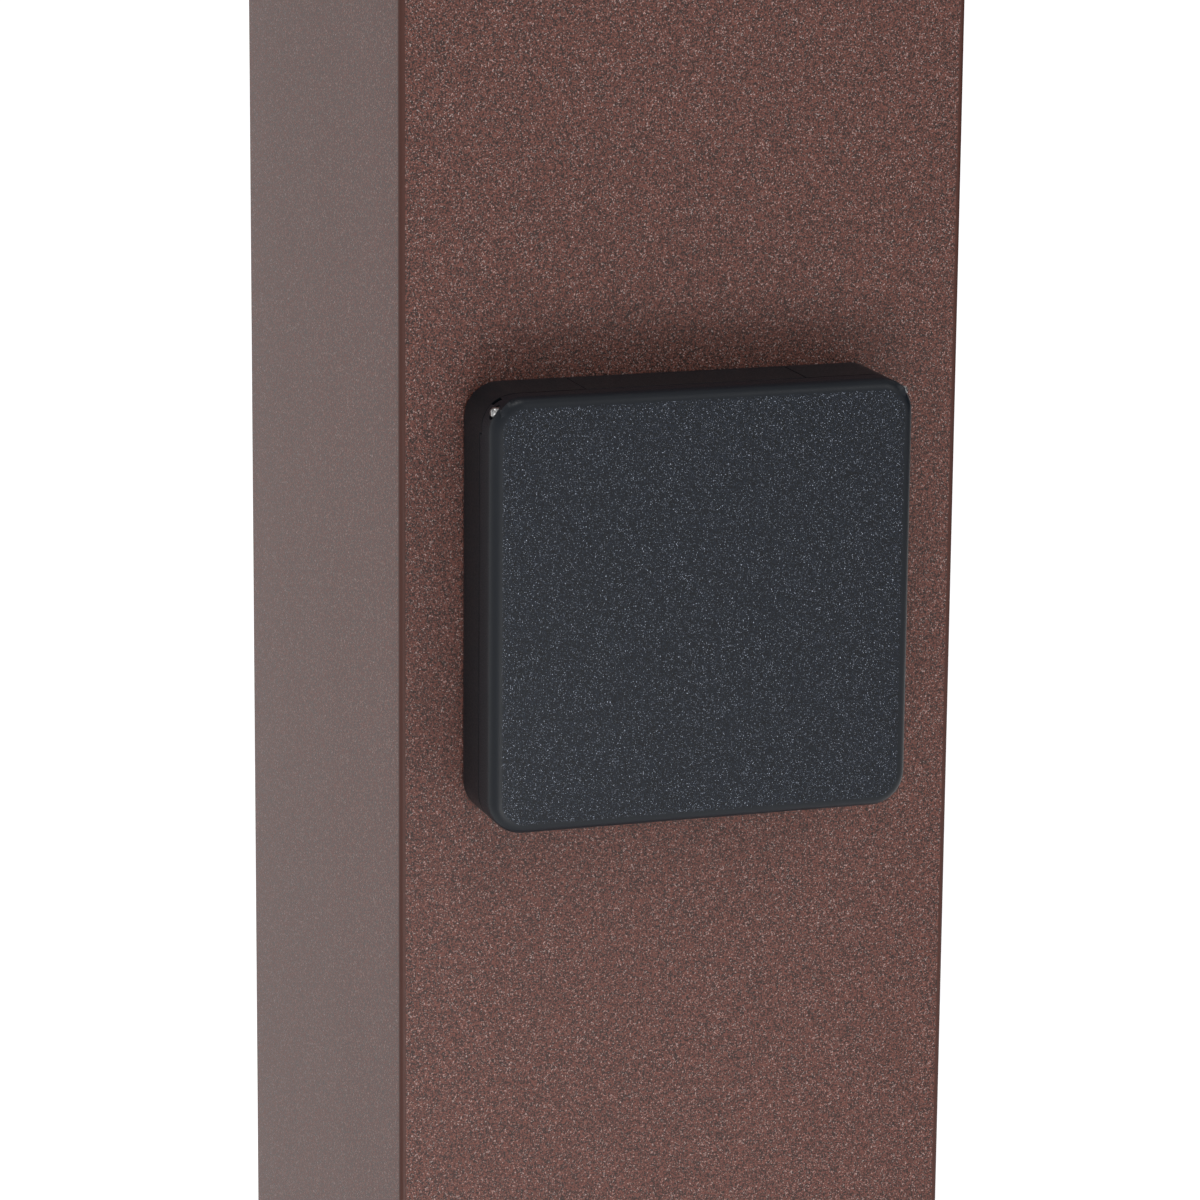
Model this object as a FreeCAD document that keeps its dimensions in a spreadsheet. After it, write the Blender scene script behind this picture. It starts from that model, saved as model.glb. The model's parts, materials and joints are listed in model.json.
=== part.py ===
"""Square bollard with a lamp head and a weatherproof socket outlet, as an assembly of separate pieces.

Frame: origin at the middle of the base flange's underside, +Z up, the socket on the -Y face. Millimetres.
Every driving size is a cell of the spreadsheet "Sizes"; what follows from them is a formula of "Places".
"""
import FreeCAD, Part
import Sketcher
import os
import re

SIZES = {
    # whole bollard
    "total_height": 800, "head_height": 90,
    # post: extruded aluminium tube
    "post_side": 110, "post_wall": 3, "post_corner": 1,
    # base flange with its spigot tube
    "plate_side": 170, "plate_thick": 8, "plate_corner": 12, "anchor_spacing": 138, "anchor_bore": 11,
    "cable_bore": 60, "spigot_rise": 80, "spigot_wall": 3, "spigot_play": 0.3,
    # screws: head radius, head height, shank radius, length, hexagon radius
    "post_screw_head": 5.25, "post_screw_rise": 3.3, "post_screw_shank": 3, "post_screw_length": 10,
    "post_screw_spacing": 50,
    "small_screw_head": 2.75, "small_screw_rise": 1.6, "small_screw_shank": 1.5,
    "thread_play": 0.05, "bore_play": 0.3,
    # earth stud
    "stud_shank": 3, "stud_length": 22, "nut_radius": 5.8, "nut_height": 5, "washer_radius": 6.5,
    "washer_height": 1.6, "stud_rise": 60,
    # slotted screw heads
    "slot_reach": 3, "slot_half": 0.4, "slot_depth": 0.8,
    # carrier plate and junction box
    "carrier_width": 90, "carrier_thick": 2, "carrier_bottom": 30, "carrier_height": 210,
    "box_width": 84, "box_depth": 38, "box_height": 100, "box_wall": 2.5, "box_bottom": 130,
    "boss_radius": 4, "boss_inset": 6, "boss_thread": 10, "cover_thick": 3, "cover_screw_reach": 8,
    "terminal_width": 56, "terminal_depth": 14, "terminal_height": 20, "terminal_count": 5,
    "terminal_well": 3, "terminal_screw": 2.5, "terminal_wire": 1.8, "gland_radius": 10,
    "gland_neck": 7, "gland_shoulder": 8.6, "gland_tip": 6, "gland_tail": 6, "gland_nut_height": 6,
    "gland_dome_height": 11, "gland_play": 0.15, "gland_inset": 19.3, "inlet_inset": 11.3,
    "lead_radius": 3.5, "lead_bend": 30, "lead_tuck": 14, "lead_gap": 0.2, "socket_lead_x": -14,
    "driver_x": 24,
    # socket outlet
    "socket_height": 420, "socket_shift": -2, "outlet_side": 82, "outlet_corner": 6.5,
    "outlet_gasket": 1, "gasket_inset": 0.8, "housing_depth": 10.7,
    "lid_depth": 18.9, "lid_wall": 1.8, "lid_edge": 2.4,
    "seam_gap": 0.3, "hinge_out": 15.9, "hinge_drop": 2.9, "tail_radius": 3.7, "tail_gap": 0.2,
    "ledge_height": 7.4, "barrel_radius": 2.6, "knuckle_radius": 1.9, "knuckle_play": 0.15,
    "barrel_play": 0.6, "block_play": 0.15,
    "pin_radius": 1, "pin_play": 0.05, "pin_grip": 0.02, "pin_inset": 0.5, "eye_play": 0.3,
    "lid_floor_rise": 2.05, "hinge_block_width": 43, "knuckle_width": 8,
    "recess_radius": 19.5, "recess_depth": 17.5, "collar_radius": 23, "collar_out": 14.5,
    "flange_radius": 33, "flange_thick": 3, "flange_play": 0.2, "flange_floor": 3, "pot_radius": 26,
    "pot_depth": 28, "pin_hole_radius": 2.75, "pin_spacing": 19, "sleeve_radius": 3.6,
    "sleeve_wall": 1, "sleeve_length": 16, "clamp_radius": 1.75, "clamp_length": 7.9,
    "clamp_inset": 4, "earth_half": 3, "earth_thick": 1, "earth_start": 4, "earth_nose": 5,
    "shutter_thick": 2.5, "shutter_travel": 5, "shutter_half": 16, "shutter_low": 4.6,
    "shutter_high": 9.2, "chamber_play": 0.2, "chamber_half": 17, "chamber_low": 14, "coil_radius": 1.1,
    "coil_wire": 0.35, "coil_pitch": 1.2, "insert_screw_inset": 3, "insert_screw_length": 7.5,
    "seal_radius": 25, "seal_width": 4, "seal_clear": 0.3, "housing_screw_spacing": 62,
    "housing_screw_head": 3.5, "housing_screw_rise": 2.4, "housing_screw_shank": 2, "rivet_radius": 3.2,
    "rivet_flange": 4.6, "rivet_length": 9, "rivet_lip": 0.8, "rivet_bulge": 2.2, "rivet_play": 0.4,
    "screw_sink": 0.6, "spring_wire": 0.7, "spring_play": 0.1,
    # lamp head
    "deck_thick": 4, "deck_skirt": 22, "diffuser_side": 100, "diffuser_wall": 4, "diffuser_corner": 5,
    "gasket_thick": 1.5, "cap_height": 28, "cap_wall": 3, "pillar_spread": 74, "pillar_radius": 4,
    "spreader_thick": 4, "spreader_play": 0.5, "led_board_side": 72, "led_board_thick": 1.6,
    "led_side": 3.5, "led_height": 0.9, "led_rows": 4, "led_pitch": 14, "cone_foot": 32, "cone_tip": 5,
    "cone_height": 40, "cap_screw_head": 4, "cap_screw_rise": 3.8, "cap_screw_sink": 4.2,
    "cap_screw_shank": 2, "cap_screw_key": 2, "cap_screw_reach": 12, "cap_boss": 6,
    "deck_screw_rise": 2.6, "deck_screw_reach": 10, "led_lead_radius": 2,
    # driver on its bracket
    "driver_width": 40, "driver_depth": 30, "driver_height": 105, "bracket_thick": 2,
    "bracket_height": 130, "bracket_foot": 16, "driver_drop": 22, "ear_side": 8, "ear_height": 6,
    "ear_thick": 2,
}

PLACES = {
    "post_top": "total_height - head_height",
    "post_length": "post_top - plate_thick",
    "bore_side": "post_side - 2 * post_wall",
    "spigot_side": "bore_side - 2 * spigot_play",
    "spigot_bore": "spigot_side - 2 * spigot_wall",
    "half_outlet": "outlet_side / 2",
    "hinge_z": "half_outlet - hinge_drop",
    "trough_radius": "tail_radius + tail_gap",
    "tail_out": "hinge_out - sqrt(trough_radius ^ 2 - hinge_drop ^ 2)",
    "ledge_foot": "half_outlet - ledge_height",
    "flange_face": "housing_depth",
    "recess_floor": "recess_depth - collar_out",
    "insert_back": "recess_floor + flange_floor",
    "pot_back": "insert_back + pot_depth",
    "wall_hole": "pot_radius + 2",
    "seat_hole": "flange_radius - 5",
    "carrier_face": "spigot_bore / 2 - carrier_thick",
    "box_face": "carrier_face - box_depth",
    "box_top": "box_bottom + box_height",
    "driver_y": "box_face + gland_inset",
    "inlet_y": "box_face + inlet_inset",
    "gland_y": "driver_y",
    "carrier_screw_x": "carrier_width / 3",
    "carrier_screw_rise": "spigot_rise * 0.7",
    "deck_top": "post_top + deck_thick",
    "diffuser_foot": "deck_top + gasket_thick",
    "cap_foot": "total_height - cap_height",
    "diffuser_top": "cap_foot - gasket_thick",
    "bracket_y": "driver_y + driver_depth / 2",
    "driver_top": "post_top - driver_drop",
    "spreader_side": "post_side - 2 * cap_wall - 2 * spreader_play",
    "shutter_y": "insert_back + 0.4",
    "sleeve_y": "shutter_y + shutter_thick + 0.6",
}

AXES = {
    "x": FreeCAD.Rotation(FreeCAD.Vector(0, 1, 0), 90),
    "y": FreeCAD.Rotation(FreeCAD.Vector(1, 0, 0), -90),
    "z": FreeCAD.Rotation(),
}

PRIMITIVES = ("Part::Box", "Part::Cylinder", "Part::Cone", "Part::Prism", "Part::Torus")

doc = FreeCAD.newDocument("BollardLight")
nodes = {}


def fill_sheet(name, cells, as_formula):
    """Write one named value per row and give its cell the name as an alias."""
    sheet = doc.addObject("Spreadsheet::Sheet", name)
    for row, (alias, content) in enumerate(cells.items(), 1):
        sheet.set(f"A{row}", alias)
        sheet.setAlias(f"B{row}", alias)
        sheet.set(f"B{row}", "=" + link(content) if as_formula else str(content))
    doc.recompute()
    return sheet


def link(formula):
    """Point every size named in a formula at its cell."""
    def cell(match):
        word = match.group(0)
        if word in SIZES:
            return "Sizes." + word
        return "Places." + word if word in PLACES else word
    return re.sub(r"[a-z][a-z_0-9]*", cell, formula)


def number(alias):
    """The value that a cell holds now."""
    return float((sizes if alias in SIZES else places).get(alias))


def place(thing, x="0", y="0", z="0"):
    for axis, formula in zip("xyz", (x, y, z)):
        thing.setExpression("Placement.Base." + axis, link(formula))
    return thing


def bind(thing, **formulas):
    for prop, formula in formulas.items():
        thing.setExpression(prop, link(formula))
    return thing


def box(name, x, y, z):
    """A box from three (low, high) pairs."""
    thing = doc.addObject("Part::Box", name)
    spans = [f"({high}) - ({low})" for low, high in (x, y, z)]
    bind(thing, Length=spans[0], Width=spans[1], Height=spans[2])
    return place(thing, x[0], y[0], z[0])


def rod(name, radius, axis, start, end, at=("0", "0")):
    """A cylinder along x, y or z from start to end; at gives its place on the other two axes."""
    thing = doc.addObject("Part::Cylinder", name)
    thing.Placement.Rotation = AXES[axis]
    bind(thing, Radius=radius, Height=f"({end}) - ({start})")
    return place(thing, *along(axis, start, at))


def cone(name, low_radius, high_radius, axis, start, end, at=("0", "0")):
    thing = doc.addObject("Part::Cone", name)
    thing.Placement.Rotation = AXES[axis]
    bind(thing, Radius1=low_radius, Radius2=high_radius, Height=f"({end}) - ({start})")
    return place(thing, *along(axis, start, at))


def hexagon(name, radius, axis, start, end, at=("0", "0")):
    thing = doc.addObject("Part::Prism", name)
    thing.Polygon = 6
    thing.Placement.Rotation = AXES[axis]
    bind(thing, Circumradius=radius, Height=f"({end}) - ({start})")
    return place(thing, *along(axis, start, at))


def along(axis, start, at):
    rest = list(at)
    return [start if letter == axis else rest.pop(0) for letter in "xyz"]


def fuse(name, *parts):
    thing = doc.addObject("Part::MultiFuse", name)
    thing.Shapes = list(parts)
    thing.Refine = True
    return thing


def cut(name, base, *tools):
    thing = doc.addObject("Part::Cut", name)
    thing.Base = base
    thing.Tool = tools[0] if len(tools) == 1 else fuse(name + "_tools", *tools)
    return thing


def common(name, *parts):
    thing = doc.addObject("Part::MultiCommon", name)
    thing.Shapes = list(parts)
    return thing


def group(name, parts):
    thing = doc.addObject("Part::Compound", name)
    thing.Links = list(parts)
    return thing


def origin_plane(body, role):
    return next(item for item in body.Origin.OriginFeatures if item.Role == role)


def prism(name, role, width, height, depth, corner=None, rim=None):
    """A PartDesign pad of a rectangle centred on an origin plane, its corners and its far rim rounded."""
    body = doc.addObject("PartDesign::Body", name)
    sketch = body.newObject("Sketcher::SketchObject", name + "_sketch")
    sketch.AttachmentSupport = (origin_plane(body, role), [""])
    sketch.MapMode = "FlatFace"
    draw_rectangle(sketch, width, height)
    last = body.newObject("PartDesign::Pad", name + "_pad")
    last.Profile = sketch
    bind(last, Length=depth)
    doc.recompute()
    normal = sketch.Placement.Rotation.multVec(FreeCAD.Vector(0, 0, 1))
    if corner:
        last = round_edges(body, last, corner, lambda edge: abs(direction(edge).dot(normal)) > 0.99)
    if rim:
        far = max(vertex.Point.dot(normal) for vertex in last.Shape.Vertexes)
        last = round_edges(body, last, rim, lambda edge: edge.CenterOfMass.dot(normal) > far - 0.001)
    body.Tip = last
    return body


def draw_rectangle(sketch, width, height):
    """Four lines centred on the sketch's origin, sized by two formulas."""
    corners = [FreeCAD.Vector(x, y, 0) for x, y in ((-10, -10), (10, -10), (10, 10), (-10, 10))]
    for index in range(4):
        sketch.addGeometry(Part.LineSegment(corners[index], corners[(index + 1) % 4]))
    for index in range(4):
        sketch.addConstraint(Sketcher.Constraint("Coincident", index, 2, (index + 1) % 4, 1))
    for index in range(4):
        sketch.addConstraint(Sketcher.Constraint("Vertical" if index % 2 else "Horizontal", index))
    sketch.addConstraint(Sketcher.Constraint("Symmetric", 0, 1, 1, 2, -1, 1))
    across = sketch.addConstraint(Sketcher.Constraint("DistanceX", 0, 1, 0, 2, 20))
    upward = sketch.addConstraint(Sketcher.Constraint("DistanceY", 1, 1, 1, 2, 20))
    sketch.setExpression(f"Constraints[{across}]", link(width))
    sketch.setExpression(f"Constraints[{upward}]", link(height))


def direction(edge):
    return edge.tangentAt(edge.FirstParameter)


def round_edges(body, feature, radius, wanted):
    fillet = body.newObject("PartDesign::Fillet", feature.Name + "_round")
    names = [f"Edge{index}" for index, edge in enumerate(feature.Shape.Edges, 1) if wanted(edge)]
    fillet.Base = (feature, names)
    bind(fillet, Radius=radius)
    doc.recompute()
    return fillet


def tube(name, role, side, wall, depth, corner):
    """A square tube as the cut of two pads."""
    outer = prism(name + "_outer", role, side, side, depth, corner)
    inner = prism(name + "_inner", role, f"{side} - 2 * {wall}", f"{side} - 2 * {wall}", depth)
    return cut(name, outer, inner)


def screw(name, kind, axis, seat, into, at):
    """A cylinder-head screw: its head stands on seat, away from into (+1 or -1 along the axis)."""
    head_end = f"({seat}) - ({into}) * {kind}_rise"
    shank_end = f"({seat}) + ({into}) * {kind}_length"
    head = rod(name + "_head", kind + "_head", axis, *ordered(seat, head_end, -into), at)
    shank = rod(name + "_shank", kind + "_shank", axis, *ordered(seat, shank_end, into), at)
    socket_end = f"({seat}) - ({into}) * {kind}_rise * 0.4"
    key = hexagon(name + "_key", kind + "_head * 0.52", axis, *ordered(socket_end, head_end, -into), at)
    return cut(name, fuse(name + "_solid", head, shank), key)


def ordered(first, second, sign):
    return (first, second) if sign > 0 else (second, first)


def node(name, thing, x="0", y="0", z="0"):
    """Name a finished sub-part after its node and put its module's frame in place."""
    if thing.TypeId in PRIMITIVES:
        thing = group(name + "_solid", [thing])
    thing.Label = name
    nodes[name] = place(thing, x, y, z)
    return thing


def in_socket(name, thing):
    """A piece drawn in the outlet's frame: x and z from its middle, y from the post's face, inward."""
    return node(name, thing, "socket_shift", "-post_side / 2", "socket_height")


def four(spacing):
    """The four corners of a square pattern, as formulas."""
    return [(f"{sx} * {spacing} / 2", f"{sy} * {spacing} / 2") for sx in (-1, 1) for sy in (-1, 1)]


def make_base():
    plate = prism("flange_blank", "XY_Plane", "plate_side", "plate_side", "plate_thick", "plate_corner")
    holes = [rod(f"anchor_{i}", "anchor_bore / 2", "z", "-1", "plate_thick + 1", at)
             for i, at in enumerate(four("anchor_spacing"))]
    opening = rod("cable_opening", "cable_bore / 2", "z", "-1", "plate_thick + 1")
    node("base_flange", cut("flange", plate, opening, *holes))
    spigot = tube("spigot", "XY_Plane", "spigot_side", "spigot_wall", "spigot_rise", "post_corner")
    bores = side_rods("spigot_bore_", "post_screw_shank + thread_play", "spigot_rise / 2")
    stud_bore = rod("stud_bore", "stud_shank + thread_play", "y", "-post_side / 2", "0", ("0", "stud_rise"))
    carrier_bores = [rod(f"carrier_bore_{i}", "small_screw_shank + thread_play", "y", "0", "post_side / 2",
                         (f"{side} * carrier_screw_x", "carrier_screw_rise")) for i, side in enumerate((-1, 1))]
    node("spigot_tube", cut("spigot_part", spigot, stud_bore, *bores, *carrier_bores), z="plate_thick")


def side_rods(name, radius, height):
    """Through rods along x at the two post screw places of a level."""
    return [rod(f"{name}{i}", radius, "x", "-post_side", "post_side",
                (f"{side} * post_screw_spacing / 2", height)) for i, side in enumerate((-1, 1))]


def side_screws(name, height):
    """Two screws in each side face of the post at one level."""
    screws = []
    for face in (-1, 1):
        for side in (-1, 1):
            at = (f"{side} * post_screw_spacing / 2", height)
            screws.append(screw(f"{name}_{face + 1}{side + 1}", "post_screw", "x", f"{face} * post_side / 2",
                                -face, at))
    return group(name, screws)


def make_post():
    shell = tube("post_shell", "XY_Plane", "post_side", "post_wall", "post_length", "post_corner")
    low = side_rods("post_low_", "post_screw_shank + bore_play", "spigot_rise / 2")
    high = side_rods("post_high_", "post_screw_shank + bore_play", "post_length - deck_skirt / 2")
    level = "socket_height - plate_thick"
    window = rod("socket_window", "wall_hole", "y", "-post_side", "0", ("socket_shift", level))
    rivets = [rod(f"rivet_bore_{i}", "rivet_radius + thread_play", "y", "-post_side", "0",
                  (f"socket_shift + {x}", f"{level} + {z}"))
              for i, (x, z) in enumerate(four("housing_screw_spacing"))]
    node("post", cut("post_part", shell, window, *low, *high, *rivets), z="plate_thick")
    node("foot_screws", side_screws("foot_screw", "spigot_rise / 2"), z="plate_thick")


def make_earth():
    face = "-spigot_bore / 2"
    washer = rod("washer_disc", "washer_radius", "y", face, f"{face} + washer_height", ("0", "stud_rise"))
    hole = rod("washer_hole", "stud_shank + thread_play", "y", f"{face} - 1", "0", ("0", "stud_rise"))
    node("earth_washer", cut("washer", washer, hole), z="plate_thick")
    start = f"{face} + washer_height"
    nut = hexagon("nut_blank", "nut_radius", "y", start, f"{start} + nut_height", ("0", "stud_rise"))
    thread = rod("nut_thread", "stud_shank + thread_play", "y", f"{face} - 1", "0", ("0", "stud_rise"))
    node("earth_nut", cut("nut", nut, thread), z="plate_thick")
    foot = f"{face} - spigot_wall"
    stud = rod("stud", "stud_shank", "y", foot, f"{foot} + stud_length", ("0", "stud_rise"))
    node("earth_stud", stud, z="plate_thick")


def make_supply():
    face = "carrier_face"
    plate = box("carrier_blank", ("-carrier_width / 2", "carrier_width / 2"),
                (face, f"{face} + carrier_thick"), ("carrier_bottom", "carrier_bottom + carrier_height"))
    spots = [(f"{side} * carrier_screw_x", "plate_thick + carrier_screw_rise") for side in (-1, 1)]
    holes = [rod(f"carrier_hole_{i}", "small_screw_shank + bore_play", "y", "0", "post_side / 2", at)
             for i, at in enumerate(spots)]
    node("carrier_plate", cut("carrier", plate, *holes))
    screws = []
    for i, at in enumerate(spots):
        head = rod(f"carrier_head_{i}", "small_screw_head", "y", f"{face} - small_screw_rise", face, at)
        shank = rod(f"carrier_shank_{i}", "small_screw_shank", "y", face,
                    f"{face} + carrier_thick + spigot_wall", at)
        screws.append(fuse(f"carrier_screw_{i}", head, shank))
    node("carrier_screws", group("carrier_screw_set", screws))
    make_junction_box()
    make_leads()


def make_junction_box():
    half = "box_width / 2"
    outer = box("jb_outer", (f"-{half}", half), ("box_face", "carrier_face"), ("box_bottom", "box_top"))
    inner = box("jb_inner", (f"-{half} + box_wall", f"{half} - box_wall"),
                ("box_face - 1", "carrier_face - box_wall"), ("box_bottom + box_wall", "box_top - box_wall"))
    low = ("box_bottom - 1", "box_bottom + box_wall + 1")
    high = ("box_top - box_wall - 1", "box_top + 1")
    ways = (("0", "inlet_y", low), ("socket_lead_x", "gland_y", high), ("driver_x", "gland_y", high))
    ports = [rod(f"jb_port_{i}", "gland_neck + gland_play", "z", *span, (x, y))
             for i, (x, y, span) in enumerate(ways)]
    bosses = []
    bores = []
    corners = [(f"{sx} * ({half} - boss_inset)", z) for sx in (-1, 1)
               for z in ("box_bottom + boss_inset", "box_top - boss_inset")]
    for i, at in enumerate(corners):
        bosses.append(rod(f"jb_boss_{i}", "boss_radius", "y", "box_face", "carrier_face - 1", at))
        bores.append(rod(f"jb_bore_{i}", "small_screw_shank + thread_play", "y", "box_face - 1",
                         "box_face + boss_thread", at))
    walls = fuse("jb_walls", cut("jb_shell", outer, inner), *bosses)
    node("junction_box", cut("jb_part", walls, *ports, *bores))
    lid = box("jb_cover_blank", (f"-{half}", half), ("box_face - cover_thick", "box_face"),
              ("box_bottom", "box_top"))
    holes = [rod(f"jb_cover_hole_{i}", "small_screw_shank + bore_play", "y", "box_face - cover_thick - 1",
                 "box_face + 1", at) for i, at in enumerate(corners)]
    node("junction_cover", cut("jb_cover", lid, *holes))
    seat = "box_face - cover_thick"
    screws = []
    for i, at in enumerate(corners):
        head = rod(f"jb_head_{i}", "small_screw_head", "y", f"{seat} - small_screw_rise", seat, at)
        shank = rod(f"jb_shank_{i}", "small_screw_shank", "y", seat, "box_face + cover_screw_reach", at)
        slot = box(f"jb_slot_{i}", (f"{at[0]} - slot_reach", f"{at[0]} + slot_reach"),
                   (f"{seat} - small_screw_rise - 1", f"{seat} - slot_depth"),
                   (f"{at[1]} - slot_half", f"{at[1]} + slot_half"))
        screws.append(cut(f"jb_screw_{i}", fuse(f"jb_screw_solid_{i}", head, shank), slot))
    node("junction_cover_screws", group("jb_screws", screws))
    make_terminals()
    make_gland("inlet_gland", "0", "inlet_y", "box_bottom", -1)
    make_gland("socket_lead_gland", "socket_lead_x", "gland_y", "box_top", 1)
    make_gland("driver_lead_gland", "driver_x", "gland_y", "box_top", 1)


def make_terminals():
    middle = "(box_bottom + box_top) / 2"
    back = "carrier_face - box_wall"
    blank = box("terminal_blank", ("-terminal_width / 2", "terminal_width / 2"),
                (f"{back} - terminal_depth", back),
                (f"{middle} - terminal_height / 2", f"{middle} + terminal_height / 2"))
    wells = []
    screws = []
    count = int(number("terminal_count"))
    for i in range(count):
        x = f"terminal_width * ({i} + 0.5) / terminal_count - terminal_width / 2"
        wells.append(rod(f"terminal_well_{i}", "terminal_well", "y", f"{back} - terminal_depth - 1",
                         f"{back} - terminal_depth / 2", (x, middle)))
        wells.append(rod(f"terminal_way_{i}", "terminal_wire", "z", f"{middle} - terminal_height",
                         f"{middle} + terminal_height", (x, f"{back} - terminal_depth * 0.3")))
        head = rod(f"terminal_head_{i}", "terminal_screw", "y", f"{back} - terminal_depth * 0.8",
                   f"{back} - terminal_depth / 2", (x, middle))
        slot = box(f"terminal_slot_{i}", (f"{x} - slot_reach", f"{x} + slot_reach"),
                   (f"{back} - terminal_depth", f"{back} - terminal_depth * 0.7"),
                   (f"{middle} - slot_half", f"{middle} + slot_half"))
        screws.append(cut(f"terminal_screw_{i}", head, slot))
    node("terminal_block", cut("terminals", blank, *wells))
    node("terminal_screws", group("terminal_screw_set", screws))


def make_gland(name, x, y, wall, up):
    """A cable gland through a wall of the box: threaded neck, hexagon, domed nut, all on one bore."""
    at = (x, y)
    tip = f"{wall} + ({up}) * (gland_nut_height + gland_dome_height)"
    nut_end = f"{wall} + ({up}) * gland_nut_height"
    neck_end = f"{wall} - ({up}) * (box_wall + gland_tail)"
    nut = hexagon(name + "_hexagon", "gland_radius", "z", *ordered(wall, nut_end, up), at)
    dome_start, dome_end = ordered(nut_end, tip, up)
    radii = ("gland_shoulder", "gland_tip")
    dome = cone(name + "_dome", *(radii if up > 0 else radii[::-1]), "z", dome_start, dome_end, at)
    neck = rod(name + "_neck", "gland_neck", "z", *ordered(neck_end, wall, up), at)
    bore = rod(name + "_bore", "lead_radius + gland_play", "z", *ordered(neck_end, tip, up), at)
    node(name, cut(name + "_part", fuse(name + "_solid", nut, dome, neck), bore))


def make_leads():
    """Leads between the modules: straight runs, and one wide bend behind the outlet."""
    start = "box_top - lead_tuck"
    lead = rod("driver_lead_run", "lead_radius", "z", start, "driver_top - driver_height - lead_gap",
               ("driver_x", "gland_y"))
    node("driver_lead", lead)
    level = "socket_height"
    rise = rod("socket_lead_rise", "lead_radius", "z", start, f"{level} - lead_bend",
               ("socket_lead_x", "gland_y"))
    turn = doc.addObject("Part::Torus", "socket_lead_turn")
    turn.Angle3 = 90
    turn.Placement.Rotation = FreeCAD.Rotation(FreeCAD.Vector(1, 1, 1), 120)
    bind(turn, Radius1="lead_bend", Radius2="lead_radius")
    place(turn, "socket_lead_x", "gland_y - lead_bend", f"{level} - lead_bend")
    run = rod("socket_lead_run", "lead_radius", "y", "-post_side / 2 + pot_back - 4", "gland_y - lead_bend",
              ("socket_lead_x", level))
    node("socket_lead", fuse("socket_lead_part", rise, turn, run))


def outlet_slab(name, front, back, corner="outlet_corner", side="outlet_side", rim=None):
    """A square slab with the outlet's rounded corners, from one depth in front of the post to another."""
    slab = prism(name, "XZ_Plane", side, side, f"({front}) - ({back})", corner, rim)
    return place(slab, y=f"-({back})")


def make_outlet():
    gasket = outlet_slab("gasket_blank", "outlet_gasket", "0", side="outlet_side - 2 * gasket_inset")
    hole = rod("gasket_hole", "wall_hole", "y", "-5", "5")
    bores = [rod(f"gasket_bore_{i}", "rivet_flange + rivet_play", "y", "-5", "5", at)
             for i, at in enumerate(four("housing_screw_spacing"))]
    in_socket("socket_gasket", cut("gasket_part", gasket, hole, *bores))
    make_housing()
    make_hinge_block()
    make_lid()
    make_insert()
    make_pot()


def hinge_rod(name, radius, start="-outlet_side", end="outlet_side"):
    """A cylinder about the lid's hinge axis."""
    return rod(name, radius, "x", start, end, ("-hinge_out", "hinge_z"))


def make_housing():
    plate = outlet_slab("housing_plate", "housing_depth", "outlet_gasket")
    front = outlet_slab("ledge_slab", "tail_out", "housing_depth - 1")
    band = box("ledge_band", ("-outlet_side", "outlet_side"), ("-lid_depth", "0"),
               ("ledge_foot", "outlet_side"))
    ledge = common("ledge", front, band)
    body = fuse("housing_body", plate, ledge)
    trough = hinge_rod("trough", "trough_radius")
    notch = box("ledge_notch", ("-outlet_side", "outlet_side"), ("-lid_depth", "-hinge_out + trough_radius"),
                ("-outlet_side", "hinge_z"))
    seat = rod("flange_seat", "flange_radius + flange_play", "y", "-lid_depth", "-flange_face + flange_thick")
    way = rod("seat_way", "seat_hole", "y", "-lid_depth", "5")
    slot = box("block_slot", ("-hinge_block_width / 2", "hinge_block_width / 2"),
               ("-lid_depth", "-outlet_gasket - 1"), ("ledge_foot", "outlet_side"))
    bores = []
    for i, at in enumerate(four("housing_screw_spacing")):
        bores.append(rod(f"housing_bore_{i}", "housing_screw_shank + bore_play", "y", "-lid_depth", "5", at))
        bores.append(rod(f"housing_sink_{i}", "housing_screw_head + bore_play", "y", "-lid_depth",
                         "-housing_depth + housing_screw_rise + screw_sink", at))
        bores.append(rod(f"housing_relief_{i}", "rivet_flange + rivet_play", "y", "-outlet_gasket - 1.2", "5",
                         at))
    bores += [rod(f"flange_thread_{i}", "small_screw_shank + thread_play", "y", "-lid_depth", "-1.5",
                  (f"{side} * (flange_radius - insert_screw_inset)", "0")) for i, side in enumerate((-1, 1))]
    in_socket("socket_housing", cut("housing_part", body, trough, notch, seat, way, slot, *bores))
    make_housing_fasteners()


def make_housing_fasteners():
    screws = []
    rivets = []
    seat = "-housing_depth + housing_screw_rise + screw_sink"
    for i, at in enumerate(four("housing_screw_spacing")):
        head = rod(f"hs_head_{i}", "housing_screw_head", "y", f"{seat} - housing_screw_rise", seat, at)
        shank = rod(f"hs_shank_{i}", "housing_screw_shank", "y", seat, "post_wall + rivet_length - 2", at)
        key = hexagon(f"hs_key_{i}", "housing_screw_head * 0.5", "y", f"{seat} - housing_screw_rise",
                      f"{seat} - housing_screw_rise / 2", at)
        screws.append(cut(f"hs_{i}", fuse(f"hs_solid_{i}", head, shank), key))
        barrel = rod(f"rivet_barrel_{i}", "rivet_radius", "y", "0", "post_wall + rivet_length", at)
        rim = rod(f"rivet_rim_{i}", "rivet_flange", "y", "-rivet_lip", "0", at)
        bulge = rod(f"rivet_bulge_{i}", "rivet_flange", "y", "post_wall", "post_wall + rivet_bulge", at)
        bore = rod(f"rivet_way_{i}", "housing_screw_shank + thread_play", "y", "-2",
                   "post_wall + rivet_length + 1", at)
        rivets.append(cut(f"rivet_{i}", fuse(f"rivet_solid_{i}", barrel, rim, bulge), bore))
    in_socket("housing_screws", group("housing_screw_set", screws))
    in_socket("rivet_nuts", group("rivet_set", rivets))


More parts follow.
